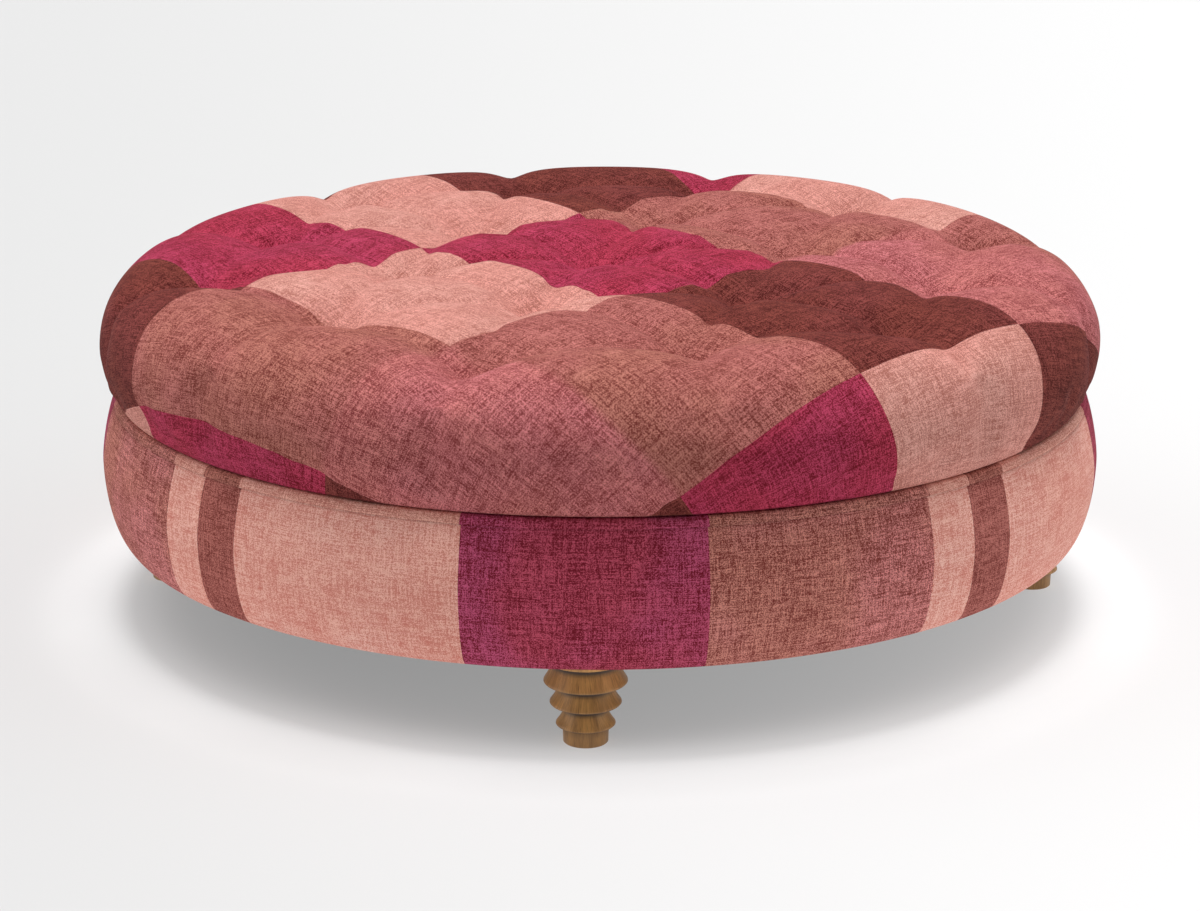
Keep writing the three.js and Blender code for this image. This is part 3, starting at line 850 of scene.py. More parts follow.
@dataclass
class TuftedCushion:
    """Low round cushion with sewn tufts on a triangular lattice."""

    cloth_attribute = "cloth_place"

    bottom: float = 243.3 * MM
    rim_height: float = 243 * MM
    crown_height: float = 387 * MM
    inside_top: float = 341.2 * MM
    fullest_rise: float = 51 * MM
    tuck_radius: float = 532 * MM
    fullest_radius: float = 547.8 * MM
    shoulder_inset: float = 99 * MM
    shoulder_roundness: float = 2.09
    tuck_roundness: float = 1.22
    tuft_pitch: float = 220 * MM
    tuft_turn: float = -15
    outer_share: float = 1.5
    neighbour_share: float = 1.3
    tuft_shifts: tuple[tuple[int, float, float], ...] = (
        (0, -8 * MM, 0), (1, -8 * MM, 14 * MM), (2, -7 * MM, -14 * MM), (5, 0, 12 * MM),
        (9, 20 * MM, 20 * MM), (11, -5 * MM, -28 * MM), (12, -4 * MM, 14 * MM), (14, 8 * MM, -8 * MM),
    )
    tuft_depth: float = 29 * MM
    tuft_width: float = 28 * MM
    valley_depth: float = 9.5 * MM
    valley_width: float = 22 * MM
    outer_valley: float = 1.4
    pit_cover: float = 1.5 * MM
    corner_loop: float = 4 * MM
    rim_cover: float = 4.5 * MM
    rim_reach: float = 40 * MM
    crease_depth: float = 9 * MM
    crease_width: float = 17.6 * MM
    crease_start: float = 20 * MM
    edge_fade: float = 48 * MM
    tip_softening: float = 0.05
    hem_width: float = 30 * MM
    cloth_thickness: float = 2 * MM
    board_clearance: float = 522.9 * MM
    tuft_hold: float = 7 * MM
    hem_hold: float = 8 * MM
    board_hold: float = 1 * MM
    pressure: float = 3.0
    slack: float = -0.03
    quality: int = 4
    mass: float = 0.3
    stretch_stiffness: float = 15
    shear_stiffness: float = 5
    bending_stiffness: float = 0.2
    frames: int = 20
    swell_share: float = 0.1
    most_movement: float = 4 * MM
    smoothing_rounds: int = 60
    sectors: int = 264
    middle_rings: int = 20
    patch_share: float = 0.85
    pitch_rings: int = 30
    outline_samples: int = 400

    def outline(self) -> tuple[Array, Array, Array]:
        """Draw the outline before tufting.

        Returns:
            Arc lengths, radii and heights, from the middle out.
        """
        fullest_height = self.rim_height + self.fullest_rise
        shoulder_radius = self.fullest_radius - self.shoulder_inset
        share = np.linspace(0, 1, self.outline_samples)
        turn = share * math.pi / 2
        sine, cosine = np.sin(turn), np.maximum(np.cos(turn), 0)
        crown = (shoulder_radius * share, np.full_like(share, self.crown_height))
        power = 2 / self.shoulder_roundness
        shoulder = (
            shoulder_radius + (self.fullest_radius - shoulder_radius) * sine**power,
            fullest_height + (self.crown_height - fullest_height) * cosine**power,
        )
        power = 2 / self.tuck_roundness
        side = (
            self.tuck_radius + (self.fullest_radius - self.tuck_radius) * cosine**power,
            fullest_height + (self.bottom - fullest_height) * sine**power,
        )
        radii = np.concatenate([crown[0][:-1], shoulder[0][:-1], side[0]])
        heights = np.concatenate([crown[1][:-1], shoulder[1][:-1], side[1]])
        return arc_lengths(rows(radii, heights)), radii, heights

    def tufts(self) -> list[tuple[float, float]]:
        """Place two rings of tufts round the middle one, a few set a little off.

        Returns:
            Azimuth and radius of each tuft.
        """
        places = [(0.0, 0.0)]
        for turn in range(6):
            azimuth = self.tuft_turn + 60 * turn
            places.append((azimuth, self.tuft_pitch))
            places.append((azimuth, 2 * self.tuft_pitch))
            places.append((azimuth + 30, math.sqrt(3) * self.tuft_pitch))
        for i, shift_x, shift_y in self.tuft_shifts:
            x, y = polar(*places[i])
            x, y = x + shift_x, y + shift_y
            places[i] = math.degrees(math.atan2(x, -y)), math.hypot(x, y)
        return places

    def dip(self, distance: Array, width: float) -> Array:
        """Return a rounded spike that is 1 in the middle and fades with distance."""
        softness = math.sqrt(self.tip_softening)
        return np.exp(softness - np.hypot(distance / width, softness))

    def pull(self, azimuth: Array, arc: Array, radius: Array, length: float) -> Array:
        """Work out how far tufts, valleys and creases draw the surface in.

        Args:
            azimuth: Azimuths in degrees.
            arc: Arc lengths from the middle.
            radius: Radii of the outline there.
            length: Arc length of the whole outline.

        Returns:
            Depth at each point.
        """
        x, y = polar(azimuth, arc)
        pull = np.zeros_like(arc)
        for tuft_azimuth, tuft_radius in self.tufts():
            tuft_x, tuft_y = polar(tuft_azimuth, tuft_radius)
            distance = np.hypot(x - tuft_x, y - tuft_y)
            pull += self.tuft_depth * self.dip(distance, self.tuft_width)
            if tuft_radius < self.outer_share * self.tuft_pitch:
                continue
            turn = (azimuth - tuft_azimuth + 180) % 360 - 180
            across = np.abs(np.radians(turn)) * radius
            start = 1 / (1 + np.exp((tuft_radius - arc) / self.crease_start))
            end = 1 - (np.maximum(arc - tuft_radius, 0) / (length - tuft_radius)) ** 2
            crease = self.crease_depth * self.dip(across, self.crease_width)
            pull += np.where(np.abs(turn) < 90, crease * start * end, 0)
        deepest = self.crown_height - self.inside_top - self.pit_cover
        return np.minimum(pull + self.valley_depth * self.valley(x, y), deepest)

    def valley(self, x: Array, y: Array) -> Array:
        """Work out how deep the valleys between neighbouring tufts are.

        Args:
            x: Places across, on the unrolled cover.
            y: Places along it.

        Returns:
            1 on the lines between tufts, more between outer ones, and 0 well away from them.
        """
        places = [np.array(polar(*tuft)) for tuft in self.tufts()]
        depth = np.zeros_like(x)
        for i, end in enumerate(places):
            for start in places[:i]:
                along = end - start
                if np.hypot(*along) > self.neighbour_share * self.tuft_pitch:
                    continue
                share = ((x - start[0]) * along[0] + (y - start[1]) * along[1]) / (along @ along)
                share = np.clip(share, 0, 1)
                distance = np.hypot(x - start[0] - share * along[0], y - start[1] - share * along[1])
                outer = min(np.hypot(*start), np.hypot(*end)) > self.outer_share * self.tuft_pitch
                dip = self.dip(distance, self.valley_width)
                depth = np.maximum(depth, dip * (self.outer_valley if outer else 1))
        return depth

    def surface(self, azimuth: Array, arc: Array) -> Array:
        """Work out points of the tufted surface.

        Args:
            azimuth: Azimuths in degrees.
            arc: Arc lengths from the middle.

        Returns:
            One row for each point.
        """
        arcs, radii, heights = self.outline()
        radius, height = np.interp(arc, arcs, radii), np.interp(arc, arcs, heights)
        slope_radius = np.interp(arc, arcs, np.gradient(radii, arcs))
        slope_height = np.interp(arc, arcs, np.gradient(heights, arcs))
        at_edge = np.clip((arcs[-1] - arc) / self.edge_fade, 0, 1)
        pull = self.pull(azimuth, arc, radius, arcs[-1]) * at_edge
        radius, height = self.clear_of_foam(radius + slope_height * pull, height - slope_radius * pull)
        return rows(*polar(azimuth, radius), height)

    def clear_of_foam(self, radius: Array, height: Array) -> tuple[Array, Array]:
        """Move points that come too near the foam pad's rim up and outwards.

        Args:
            radius: Radii of the points.
            height: Their heights.

        Returns:
            The radii and heights they get.
        """
        lack = self.rim_cover - np.maximum(radius - self.board_clearance, height - self.inside_top)
        lack = np.where(radius > self.board_clearance - self.rim_reach, np.maximum(lack, 0), 0)
        return radius + lack, height + lack

    def middle_patch(self) -> tuple[Array, Array]:
        """Lay out a square patch whose edge is a circle.

        Returns:
            Azimuths and arc lengths.
        """
        cells = self.sectors // 4
        turn = (np.arange(cells + 1) / cells * 2 - 1) * math.pi / 4
        across, along = np.meshgrid(np.tan(turn), np.tan(turn), indexing="ij")
        reach = np.maximum(np.abs(across), np.abs(along))
        length = np.hypot(across, along)
        rounded = reach / np.where(length > 0, length, 1)
        share = (1 - reach) * self.patch_share + reach * rounded
        radius = length * share * self.middle_rings * self.tuft_pitch / self.pitch_rings
        azimuth = np.degrees(np.arctan2(along, across)) + 90 + self.tuft_turn
        return azimuth.ravel(), radius.ravel()

    def shape(self) -> Object:
        """Build the closed cushion: tufted top and side, hem, and the walls round board and foam.

        Returns:
            The cushion, with the unrolled place of its cloth stored on it.
        """
        cells = self.sectors // 4
        length = self.outline()[0][-1]
        azimuth, arc = self.middle_patch()
        step = self.tuft_pitch / self.pitch_rings
        start = self.middle_rings * step
        ring_count = round((length - start) / step)
        ring_arcs = start + (length - start) * np.arange(1, ring_count + 1) / ring_count
        ring_azimuth = np.arange(self.sectors) * 360 / self.sectors + 45 + self.tuft_turn
        azimuths = np.concatenate([azimuth, np.tile(ring_azimuth, ring_count)])
        arcs = np.concatenate([arc, np.repeat(ring_arcs, self.sectors)])
        points = self.surface(azimuths, arcs)
        plan = rows(*polar(azimuths, arcs), 0)
        hem, hem_top = self.tuck_radius - self.hem_width, self.bottom + self.cloth_thickness
        inside = [
            (self.tuck_radius - self.hem_width / 2, self.bottom),
            (hem, self.bottom),
            (hem, hem_top),
            (self.board_clearance, hem_top),
            (self.board_clearance, self.inside_top - self.corner_loop),
            (self.board_clearance, self.inside_top),
            (self.board_clearance - self.corner_loop, self.inside_top),
            (self.board_clearance / 2, self.inside_top),
        ]
        for i, (radius, height) in enumerate(inside):
            points = np.vstack([points, rows(*polar(ring_azimuth, radius), height)])
            arc = length + (i + 1) * self.hem_width / 2
            plan = np.vstack([plan, rows(*polar(ring_azimuth, arc), 0)])
        points = np.vstack([points, [[0, 0, self.inside_top]]])
        plan = np.vstack([plan, [[0, 0, 0]]])
        cushion = Piece.from_mesh("cushion_cover", points, self.faces(cells, ring_count + len(inside)))
        Piece.set_attribute(cushion, self.cloth_attribute, plan)
        return cushion

    def faces(self, cells: int, ring_count: int) -> list[tuple[int, ...]]:
        """Join the middle patch, the rings round it and the last point with faces.

        Args:
            cells: Faces along a side of the middle patch.
            ring_count: Rings round the patch, the inside ones among them.

        Returns:
            The vertex numbers of each face, turning left seen from outside.
        """
        side = cells + 1
        faces = [
            (i * side + j, (i + 1) * side + j, (i + 1) * side + j + 1, i * side + j + 1)
            for i in range(cells)
            for j in range(cells)
        ]
        edge = [cells * side + j for j in range(cells)]
        edge += [i * side + cells for i in range(cells, 0, -1)]
        edge += [j for j in range(cells, 0, -1)]
        edge += [i * side for i in range(cells)]
        rings = [edge]
        for ring in range(ring_count):
            first = side * side + ring * self.sectors
            rings.append(list(range(first, first + self.sectors)))
        for inner, outer in zip(rings, rings[1:]):
            for i in range(self.sectors):
                j = (i + 1) % self.sectors
                faces.append((inner[i], outer[i], outer[j], inner[j]))
        last = side * side + ring_count * self.sectors
        faces += [(rings[-1][i], last, rings[-1][(i + 1) % self.sectors]) for i in range(self.sectors)]
        return faces

    def held(self, points: Array, plan: Array) -> Array:
        """Tell which points the sewing, the hem and the board hold.

        Args:
            points: The cushion's points.
            plan: The unrolled places of its cloth there.

        Returns:
            True for each held point.
        """
        arc = np.hypot(plan[:, 0], plan[:, 1])
        held = points[:, 2] < self.bottom + self.cloth_thickness + self.board_hold
        held |= arc > self.outline()[0][-1] - self.hem_hold
        held |= (np.abs(points[:, 2] - self.inside_top) < 0.1 * MM) & (arc == 0)
        for azimuth, radius in self.tufts():
            x, y = polar(azimuth, radius)
            held |= np.hypot(plan[:, 0] - x, plan[:, 1] - y) < self.tuft_hold
        return held

    def settle(self, cushion: Object) -> None:
        """Let the cover swell a little over its filling and pucker at the tufts, as a cloth simulation.

        The movement is capped, and most of its even part is left out, so that the cushion keeps its outline.

        Args:
            cushion: The cushion, before it is subdivided.
        """
        rest = Piece.points(cushion)
        plan = Piece.get_attribute(cushion, self.cloth_attribute)
        held = self.held(rest, plan)
        group = cushion.vertex_groups.new(name="held")
        group.add(np.flatnonzero(held).tolist(), 1.0, "REPLACE")
        modifier = cushion.modifiers.new("cloth", "CLOTH")
        settings = modifier.settings
        settings.quality = self.quality
        settings.mass = self.mass
        settings.tension_stiffness = settings.compression_stiffness = self.stretch_stiffness
        settings.shear_stiffness = self.shear_stiffness
        settings.bending_stiffness = self.bending_stiffness
        settings.use_pressure = True
        settings.uniform_pressure_force = self.pressure
        settings.vertex_group_mass = group.name
        settings.shrink_min = self.slack
        settings.effector_weights.gravity = 0
        modifier.collision_settings.use_collision = False
        modifier.point_cache.frame_end = self.frames
        scene = bpy.context.scene
        for frame_number in range(1, self.frames + 1):
            scene.frame_set(frame_number)
        moved = Piece.points(cushion.evaluated_get(bpy.context.evaluated_depsgraph_get())) - rest
        cushion.modifiers.remove(modifier)
        cushion.vertex_groups.remove(group)
        scene.frame_set(1)
        moved = np.nan_to_num(moved)
        even = self.smoothed(cushion, moved)
        moved = moved - even * (1 - self.swell_share)
        length = np.linalg.norm(moved, axis=1, keepdims=True)
        moved *= np.minimum(1, self.most_movement / np.maximum(length, 1e-9))
        log.info("cloth moved %.1f mm at most, %.2f mm on average", length.max() * 1000, length.mean() * 1000)
        Piece.move_points(cushion, rest + np.where(held[:, None], 0, moved))

    def smoothed(self, cushion: Object, values: Array) -> Array:
        """Spread values over neighbouring points until only their even part is left.

        Args:
            cushion: The cushion.
            values: One row for each of its points.

        Returns:
            The even part, in rows as well.
        """
        edges = np.empty(len(cushion.data.edges) * 2, int)
        cushion.data.edges.foreach_get("vertices", edges)
        first, second = edges.reshape(-1, 2).T
        count = np.bincount(edges, minlength=len(values))[:, None]
        for _ in range(self.smoothing_rounds):
            total = np.zeros_like(values)
            for axis in range(3):
                total[:, axis] = np.bincount(first, values[second, axis], len(values))
                total[:, axis] += np.bincount(second, values[first, axis], len(values))
            values = (values + total / np.maximum(count, 1)) / 2
        return values

    def build(self) -> None:
        """Make the cushion and dress it."""
        cushion = self.shape()
        self.settle(cushion)
        Piece.subdivide(cushion)
        Piece.finish(cushion, CushionLinen().material(), "cushion_linen", "tufted_cushion")


@dataclass
class PaddedBand:
    """Padded band under the cushion, with a strip sewn along its rim."""

    cloth_map = "cloth"

    bottom: float = 88.3 * MM
    hem_height: float = 91.3 * MM
    belly_height: float = 171 * MM
    rim_height: float = 243 * MM
    belly_radius: float = 550.9 * MM
    lower_edge_radius: float = 525.8 * MM
    rim_radius: float = 532 * MM
    lower_roundness: float = 1.93
    upper_roundness: float = 1.4
    hem_width: float = 30 * MM
    cloth_thickness: float = 2 * MM
    seam_depth: float = 0.6 * MM
    seam_width: float = 1.6 * MM
    seam_reach: float = 3.5
    seam_places: tuple[float, ...] = (-3, -2, -1.4, -0.9, -0.45, 0, 0.45, 0.9, 1.4, 2, 3)
    strip_width: float = 11 * MM
    lower_hem: float = 496.3 * MM
    hem_roll: float = 18 * MM
    sectors: int = 288
    arc_steps: int = 24
    inside_steps: int = 6
    hem_steps: int = 8
    fineness: int = 8

    def side(self, inset: float, steps: int) -> Array:
        """Work out the band's side.

        Args:
            inset: How far inside the cover's outer face it lies.
            steps: Steps below the belly, and as many above.

        Returns:
            Radius and height of the points from the bottom up.
        """
        turn = np.linspace(-math.pi / 2, math.pi / 2, 2 * steps + 1)
        low, high = self.bottom + inset, self.rim_height - inset
        below = turn < 0
        end = np.where(below, low, high)
        edge = np.where(below, self.lower_edge_radius, self.rim_radius)
        power = np.where(below, 2 / self.lower_roundness, 2 / self.upper_roundness)
        radius = edge + (self.belly_radius - edge) * np.maximum(np.cos(turn), 0) ** power
        height = self.belly_height + (end - self.belly_height) * np.abs(np.sin(turn)) ** power
        return rows(radius - inset, height)

    def seamed_side(self) -> tuple[Array, float]:
        """Add the seam's groove to the outside.

        Returns:
            Radius and height of the points up the outside, and the seam's arc length from the first.
        """
        fine = self.side(0, self.fineness * self.arc_steps)
        arcs = arc_lengths(fine)
        seam = arcs[-1] - self.strip_width
        near = seam + self.seam_width * np.array(self.seam_places)
        even = np.linspace(0, arcs[-1], 2 * self.arc_steps + 1)
        even = even[np.abs(even - seam) > self.seam_reach * self.seam_width]
        places = np.sort(np.concatenate([even, near]))
        points = rows(*(np.interp(places, arcs, column) for column in fine.T))
        slope = rows(*(np.interp(places, arcs, np.gradient(column, arcs)) for column in fine.T))
        depth = self.seam_depth * np.exp(-(((places - seam) / self.seam_width) ** 2))
        inward = rows(-slope[:, 1], slope[:, 0])
        return points + inward * depth[:, None], seam

    def profile(self) -> Array:
        """Go round the cover's section, from the lower hem outside and up, then back inside.

        Returns:
            Radius and height of each point.
        """
        outside, _ = self.seamed_side()
        inside = self.side(self.cloth_thickness, self.inside_steps)[::-1]
        upper_hem = self.rim_radius - self.hem_width
        share = np.linspace(0, 1, self.hem_steps)[1:, None]
        over = outside[-1] + (np.array([upper_hem, self.rim_height]) - outside[-1]) * share
        under_radius = self.lower_hem + (outside[0, 0] - self.lower_hem) * share[:, 0]
        start, end = outside[0, 0] - self.hem_roll, outside[0, 0] - self.cloth_thickness
        roll = np.clip((under_radius - start) / (end - start), 0, 1)
        roll = roll * roll * (3 - 2 * roll)
        under = rows(under_radius, self.hem_height + (self.bottom - self.hem_height) * roll)
        return np.vstack([
            [[self.lower_hem, self.hem_height]],
            under[:-1],
            outside,
            over,
            [[upper_hem, self.rim_height - self.cloth_thickness]],
            inside,
            [[self.lower_hem, self.hem_height + self.cloth_thickness]],
        ])

    def build(self) -> None:
        """Make the band's cover and dress it."""
        profile = self.profile()
        count = len(profile)
        arcs = arc_lengths(profile)
        outside, seam = self.seamed_side()
        lower_edge = np.argmin(np.hypot(*(profile - outside[0]).T))
        arcs = arcs - arcs[lower_edge] - seam
        azimuth = 180 + np.arange(self.sectors) * 360 / self.sectors
        points = rows(*polar(azimuth[:, None], profile[None, :, 0]), profile[None, :, 1]).reshape(-1, 3)
        faces, places = [], []
        for i in range(self.sectors):
            j = (i + 1) % self.sectors
            for k in range(count):
                m = (k + 1) % count
                faces.append((i * count + k, j * count + k, j * count + m, i * count + m))
                last = arcs[m] if m else arcs[-1] + self.cloth_thickness
                left, right = i / self.sectors, (i + 1) / self.sectors
                places += [(left, arcs[k]), (right, arcs[k]), (right, last), (left, last)]
        band = Piece.from_mesh("band_cover", points, faces)
        cloth = band.data.uv_layers.new(name=self.cloth_map)
        cloth.data.foreach_set("uv", np.array(places, np.float32).ravel())
        Piece.subdivide(band)
        Piece.finish(band, BandLinen().material(), "band_linen", "side_cover")


@dataclass
class TurnedFeet:
    """Four turned feet with three thin-lipped rings each."""

    grain_attribute = "grain_place"
    # Share of painted shade with stain at each vertex.
    stain_and_shade_attribute = "hollow"

    names: tuple[str, ...] = ("front", "right", "back", "left")
    circle_radius: float = 488 * MM
    height: float = 89.7 * MM
    ring_count: int = 3
    lowest_radius: float = 29.5 * MM
    radius_step: float = 6 * MM
    lowest_height: float = 19.8 * MM
    lip: float = 2.4 * MM
    # Each row: out and up from the ring's lip in millimetres, and the share of painted shade with stain, most
    # in the grooves and under the lips.
    ring_lip: Triples = (
        (-5.5, -2.4, 1.0), (-2.2, -1.9, 0.9), (-0.7, -1.4, 0.7), (0.0, -0.6, 0.35), (-0.1, 0.2, 0.1),
    )
    ring_cone: Triples = (
        (-1.0, 1.5, 0.0), (-2.9, 4.0, 0.0), (-5.4, 8.1, 0.0), (-7.0, 10.8, 0.1), (-7.9, 12.8, 0.5),
        (-8.4, 14.4, 0.9), (-8.5, 16.0, 1.0), (-8.5, 18.2, 1.0),
    )
    top_cone_stretch: float = 1.18
    groove_width: float = 2.5 * MM
    toe_inset: float = 7.2 * MM
    toe_flare: float = 0.6 * MM
    toe_chamfer: float = 0.8 * MM
    collar_overhang: float = 0.5 * MM
    collar_thickness: float = 2.9 * MM
    collar_chamfer: float = 0.5 * MM
    bore_radius: float = 4.3 * MM
    bore_depth: float = 40 * MM
    segments: int = 72
    smooth_angle: float = 50
    grain_shift: float = 0.3

    def profile(self) -> list[tuple[float, float, float]]:
        """Draw the foot's profile.

        Returns:
            Radius, height and share of painted shade with stain of its points from the toe up.
        """
        pitch = (self.height - self.collar_thickness - self.lowest_height) / self.ring_count
        toe = self.lowest_radius - self.toe_inset
        under = self.lowest_height - self.lip
        # The third value of each point is its share of painted shade with stain.
        points = [
            (toe - self.toe_chamfer, 0.0, 0.4),
            (toe, self.toe_chamfer, 0.3),
            (toe + self.toe_flare / 2, under / 2, 0.3),
            (toe + self.toe_flare, under - self.groove_width, 0.5),
            (toe + self.toe_flare, under - 0.4 * MM, 1.0),
        ]
        for i in range(self.ring_count):
            radius = self.lowest_radius + i * self.radius_step
            height = self.lowest_height + i * pitch
            stretch = self.top_cone_stretch if i == self.ring_count - 1 else 1
            for out, up, hollow in self.ring_lip:
                points.append((radius + out * MM, height + up * MM, hollow))
            for out, up, hollow in self.ring_cone:
                points.append((radius + out * MM, height + up * stretch * MM, hollow))
        collar = self.lowest_radius + (self.ring_count - 1) * self.radius_step + self.collar_overhang
        collar_bottom = self.height - self.collar_thickness
        points += [
            (collar - self.collar_chamfer, collar_bottom, 0.2),
            (collar, collar_bottom + self.collar_chamfer, 0.0),
            (collar, self.height, 0.0),
            (self.bore_radius, self.height, 0.0),
            (self.bore_radius, self.height - self.bore_depth, 0.0),
        ]
        return points

    def turn_foot(self) -> Object:
        """Turn one foot on the axis, by extruding and sizing a circle along the profile.

        Returns:
            The foot, standing at the origin.
        """
        profile = self.profile()
        radius, height, _ = profile[0]
        Piece.deselect()
        place = (0, 0, height)
        bpy.ops.mesh.primitive_circle_add(
            vertices=self.segments, radius=radius, fill_type="NGON", location=place)
        foot = bpy.context.object
        bpy.ops.object.mode_set(mode="EDIT")
        for next_radius, next_height, _ in profile[1:]:
            move = {"value": (0, 0, next_height - height)}
            bpy.ops.mesh.extrude_region_move(TRANSFORM_OT_translate=move)
            scale = next_radius / radius
            bpy.ops.transform.resize(value=(scale, scale, 1), center_override=(0, 0, next_height))
            radius, height = next_radius, next_height
        Piece.face_outwards()
        bpy.ops.object.shade_smooth_by_angle(angle=math.radians(self.smooth_angle))
        self.mark_grain(foot, profile)
        return foot

    def mark_grain(self, foot: Object, profile: list[tuple[float, float, float]]) -> None:
        """Store where each vertex lies on the turned profile, and how much painted shade with stain darkens
        it.

        Args:
            foot: The foot at the origin.
            profile: The profile that it was turned to.
        """
        points = Piece.points(foot)
        table = np.array(profile)
        arcs = arc_lengths(table[:, :2])
        radius = np.hypot(points[:, 0], points[:, 1])
        gap = np.hypot(radius[:, None] - table[None, :, 0], points[:, 2][:, None] - table[None, :, 1])
        nearest = gap.argmin(axis=1)
        angle = np.arctan2(points[:, 1], points[:, 0])
        wide = self.lowest_radius
        grain = rows(wide * np.cos(angle), wide * np.sin(angle), arcs[nearest])
        Piece.set_attribute(foot, self.grain_attribute, grain)
        Piece.set_attribute(foot, self.stain_and_shade_attribute, rows(*[table[nearest, 2]] * 3))

    def build(self) -> None:
        """Make the four feet from one that is turned on the axis, each with its own stretch of grain."""
        oak = TurnedOak().material()
        model = self.turn_foot()
        for i, name in enumerate(self.names):
            mesh = model.data.copy()
            foot = bpy.data.objects.new(f"turned_foot_{name}", mesh)
            mesh.name = foot.name
            bpy.context.collection.objects.link(foot)
            x, y = polar(np.array(90.0 * i), np.array(self.circle_radius))
            Piece.move_points(foot, Piece.points(foot) + [float(x), float(y), 0])
            grain = Piece.get_attribute(foot, self.grain_attribute)
            foot.data.attributes.remove(foot.data.attributes[self.grain_attribute])
            Piece.set_attribute(foot, self.grain_attribute, grain + [0, 0, self.grain_shift * i])
            Piece.finish(foot, oak, "oak", f"foot_{name}")
        bpy.data.objects.remove(model)


@dataclass
class DustCloth:
    """Thin black cloth stapled under the frame, a little slack between its staples."""

    radius: float = 507.2 * MM
    top: float = 91 * MM
    thickness: float = 0.6 * MM
    sag: float = 5 * MM
    sag_radius: float = 440 * MM
    pucker_depth: float = 0.35 * MM
    pucker_reach: float = 30 * MM
    staple_count: int = 48
    wrinkle_depth: float = 1.2 * MM
    wrinkle_turns: tuple[int, int] = (3, 5)
    wrinkle_twist: float = 9
    wrinkle_shift: float = 1
    calm_radius: float = 220 * MM
    rings: int = 40
    sectors: int = 192

    def height(self, x: Array, y: Array) -> Array:
        """Work out how high the underside lies.

        Args:
            x: Places across.
            y: Places front to back.

        Returns:
            Height at each place.
        """
        radius = np.hypot(x, y)
        azimuth = np.arctan2(x, -y)
        slack = np.clip(1 - (radius / self.sag_radius) ** 2, 0, 1)
        first, second = self.wrinkle_turns
        wrinkle = np.sin(first * azimuth + self.wrinkle_twist * radius / self.sag_radius)
        wrinkle *= np.sin(second * azimuth - self.wrinkle_shift)
        wrinkle *= np.clip(radius / self.calm_radius, 0, 1) ** 2
        near_edge = np.exp(-((self.radius - radius) / self.pucker_reach))
        pucker = (0.5 - 0.5 * np.cos(azimuth * self.staple_count)) * near_edge
        low = self.top - self.thickness - self.pucker_depth * (1 - pucker) * near_edge
        return low - slack * (self.sag + self.wrinkle_depth * wrinkle)

    def build(self) -> None:
        """Make the cloth and dress it."""
        radius, azimuth = np.meshgrid(
            np.arange(1, self.rings + 1) / self.rings * self.radius,
            np.arange(self.sectors) * 360 / self.sectors, indexing="ij")
        x, y = polar(azimuth.ravel(), radius.ravel())
        x, y = np.append(x, 0), np.append(y, 0)
        under = self.height(x, y)
        points = np.vstack([rows(x, y, under), rows(x, y, under + self.thickness)])
        half, last = len(x), self.rings * self.sectors
        lower, upper = [], []
        for j in range(self.sectors):
            k = (j + 1) % self.sectors
            lower.append((last, j, k))
            for i in range(self.rings - 1):
                a, b = i * self.sectors, (i + 1) * self.sectors
                lower.append((a + j, b + j, b + k, a + k))
            edge = (self.rings - 1) * self.sectors
            upper.append((edge + j, edge + j + half, edge + k + half, edge + k))
        upper += [tuple(i + half for i in reversed(face)) for face in lower]
        cloth = Piece.from_mesh("dust_cloth_cambric", points, lower + upper)
        Piece.select(cloth)
        bpy.ops.object.mode_set(mode="EDIT")
        Piece.face_outwards()
        Piece.finish(cloth, BlackCambric().material(), "dust_cloth", "dust_cloth")


@dataclass
class InnerFrame:
    """Timber, fixings and padding inside, which keep the model's own shapes."""

    finishes: dict[str, Any] = field(default_factory=lambda: {
        "lower_ring": Plywood, "upper_ring": Plywood, "leg_block": Plywood, "cushion_board": Plywood,
        "leg_post": Softwood, "side_post": Softwood, "cross_rail": Softwood,
        "band_board": Hardboard, "side_padding": Foam, "foam_pad": Foam,
        "tuft_tie": Twine, "hanger_bolt": ZincPlate, "tee_nut": ZincPlate, "cushion_screw": ZincPlate,
    })

    def build(self) -> None:
        """Dress each node of the model that no piece stands for."""
        materials = {finish: finish().material() for finish in dict.fromkeys(self.finishes.values())}
        for name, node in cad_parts.items():
            finish = next((made for start, made in self.finishes.items() if name.startswith(start)), None)
            if finish is None or node.hide_render:
                continue
            node.data.materials.clear()
            node.data.materials.append(materials[finish])
            log.info("%s: %s", name, materials[finish].name)


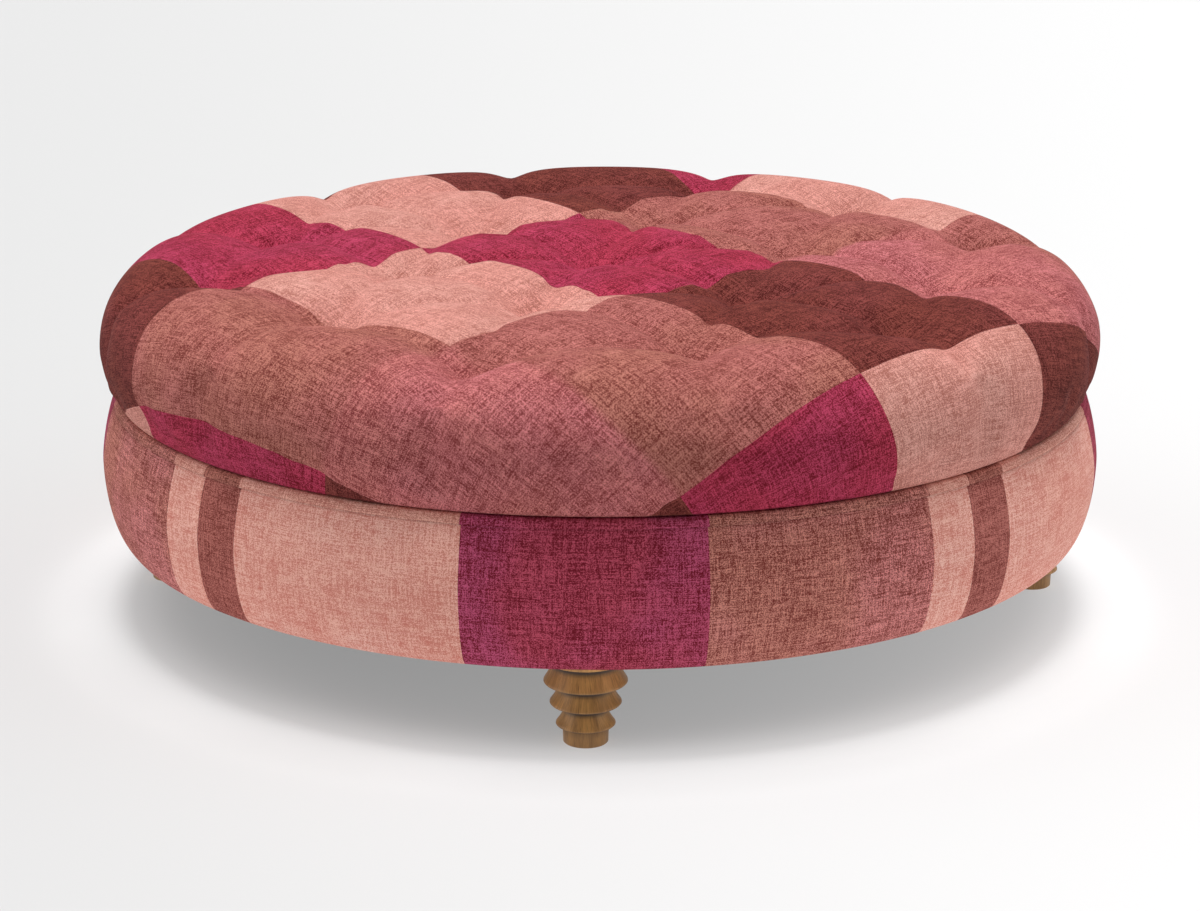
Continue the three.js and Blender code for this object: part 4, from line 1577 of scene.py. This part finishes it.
@dataclass
class Studio:
    """Pale floor whose glow is painted light, brighter towards the right and in a ring round the tuffet's
    shadow, soft light and the camera.
    """

    floor_size: float = 40.0
    floor_colour: Colour = (181, 181, 181)
    floor_glow: float = 0.32
    # Painted light: the floor's glow grows towards the right, along a fan of lines from a point in front of
    # the tuffet.
    painted_fan_axis: float = 0.09
    painted_fan_distance: float = 3.64
    painted_fan_slope: float = 0.35
    painted_fan_reach: float = 0.3
    painted_fan_nearest: float = 2.0
    # Painted light: a ring of glow just outside the tuffet's edge lightens the rim of its shadow, so that the
    # shadow looks smaller.
    painted_ring_radius: float = 0.555
    painted_ring_width: float = 0.055
    painted_ring_glow: float = 0.21
    camera_place: tuple[float, float, float] = (0.0946, -3.2986, 1.1315)
    camera_tilt: float = 73.394
    camera_turn: float = 1.642
    lens: float = 91.87
    sensor: float = 36.0
    sky_strength: float = 0.18
    lamps: tuple[tuple[float, float, float, float], ...] = (
        (270, 15, 1.35, 60),
        (90, 15, 0.85, 60),
        (180, 84, 3.0, 24),
    )

    def floor_material(self) -> Material:
        """Make the floor, whose glow is painted light: it keeps its shadow soft and light comes from below, a
        painted fan brightens it towards the right, and a painted ring of light round the tuffet narrows its
        shadow.

        Returns:
            The material.
        """
        graph = Graph("studio_floor")
        diffuse = graph.node("ShaderNodeBsdfDiffuse", None, {"Color": linear(self.floor_colour)})
        x, y, _ = graph.split(graph.object_place())
        # Painted light: a fan of glow that brightens the floor towards the right.
        fan = (x - self.painted_fan_axis) / (y + self.painted_fan_distance).math("MAXIMUM", self.painted_fan_nearest)
        change = self.painted_fan_slope * self.painted_fan_reach
        strength = fan.remap(
            -self.painted_fan_reach, self.painted_fan_reach, self.floor_glow - change, self.floor_glow + change)
        # Painted light: the ring of glow round the edge of the tuffet's shadow.
        away = ((x * x + y * y).math("SQRT") - self.painted_ring_radius) / self.painted_ring_width
        painted_ring = (away * away * -1.0).math("EXPONENT") * self.painted_ring_glow
        glow = graph.node("ShaderNodeEmission", None, {"Strength": strength + painted_ring})
        lit = graph.node("ShaderNodeAddShader", None, {0: diffuse, 1: glow})
        graph.node("ShaderNodeOutputMaterial", None, {"Surface": lit})
        return graph.material

    def build(self) -> None:
        """Make the floor, the world, the lamps and the camera."""
        scene = bpy.context.scene
        Piece.deselect()
        bpy.ops.mesh.primitive_plane_add(size=self.floor_size)
        floor = bpy.context.object
        floor.name = "studio_floor"
        floor.data.materials.append(self.floor_material())

        world = bpy.data.worlds.new("studio_sky")
        world.use_nodes = True
        background = world.node_tree.nodes["Background"]
        background.inputs["Color"].default_value = (1, 1, 1, 1)
        background.inputs["Strength"].default_value = self.sky_strength
        scene.world = world

        for i, (azimuth, height, strength, spread) in enumerate(self.lamps):
            lamp = bpy.data.lights.new(f"lamp_{i + 1}", "SUN")
            lamp.energy = strength
            lamp.angle = math.radians(spread)
            holder = bpy.data.objects.new(lamp.name, lamp)
            x, y = polar(np.array(azimuth), np.array(math.cos(math.radians(height))))
            from_lamp = Vector((float(x), float(y), math.sin(math.radians(height))))
            holder.rotation_euler = from_lamp.to_track_quat("Z", "Y").to_euler()
            scene.collection.objects.link(holder)

        camera = bpy.data.cameras.new("camera")
        camera.lens = self.lens
        camera.sensor_width = self.sensor
        holder = bpy.data.objects.new("camera", camera)
        holder.location = self.camera_place
        holder.rotation_euler = (math.radians(self.camera_tilt), 0, math.radians(self.camera_turn))
        scene.collection.objects.link(holder)
        scene.camera = holder
        scene.view_settings.view_transform = "Standard"


def main() -> None:
    """Build the tuffet and its studio, and log how many vertices each piece has."""
    logging.basicConfig(level=logging.INFO, format="%(name)s: %(message)s")
    Studio().build()
    TuftedCushion().build()
    PaddedBand().build()
    TurnedFeet().build()
    DustCloth().build()
    InnerFrame().build()


if __name__ == "__main__":
    main()
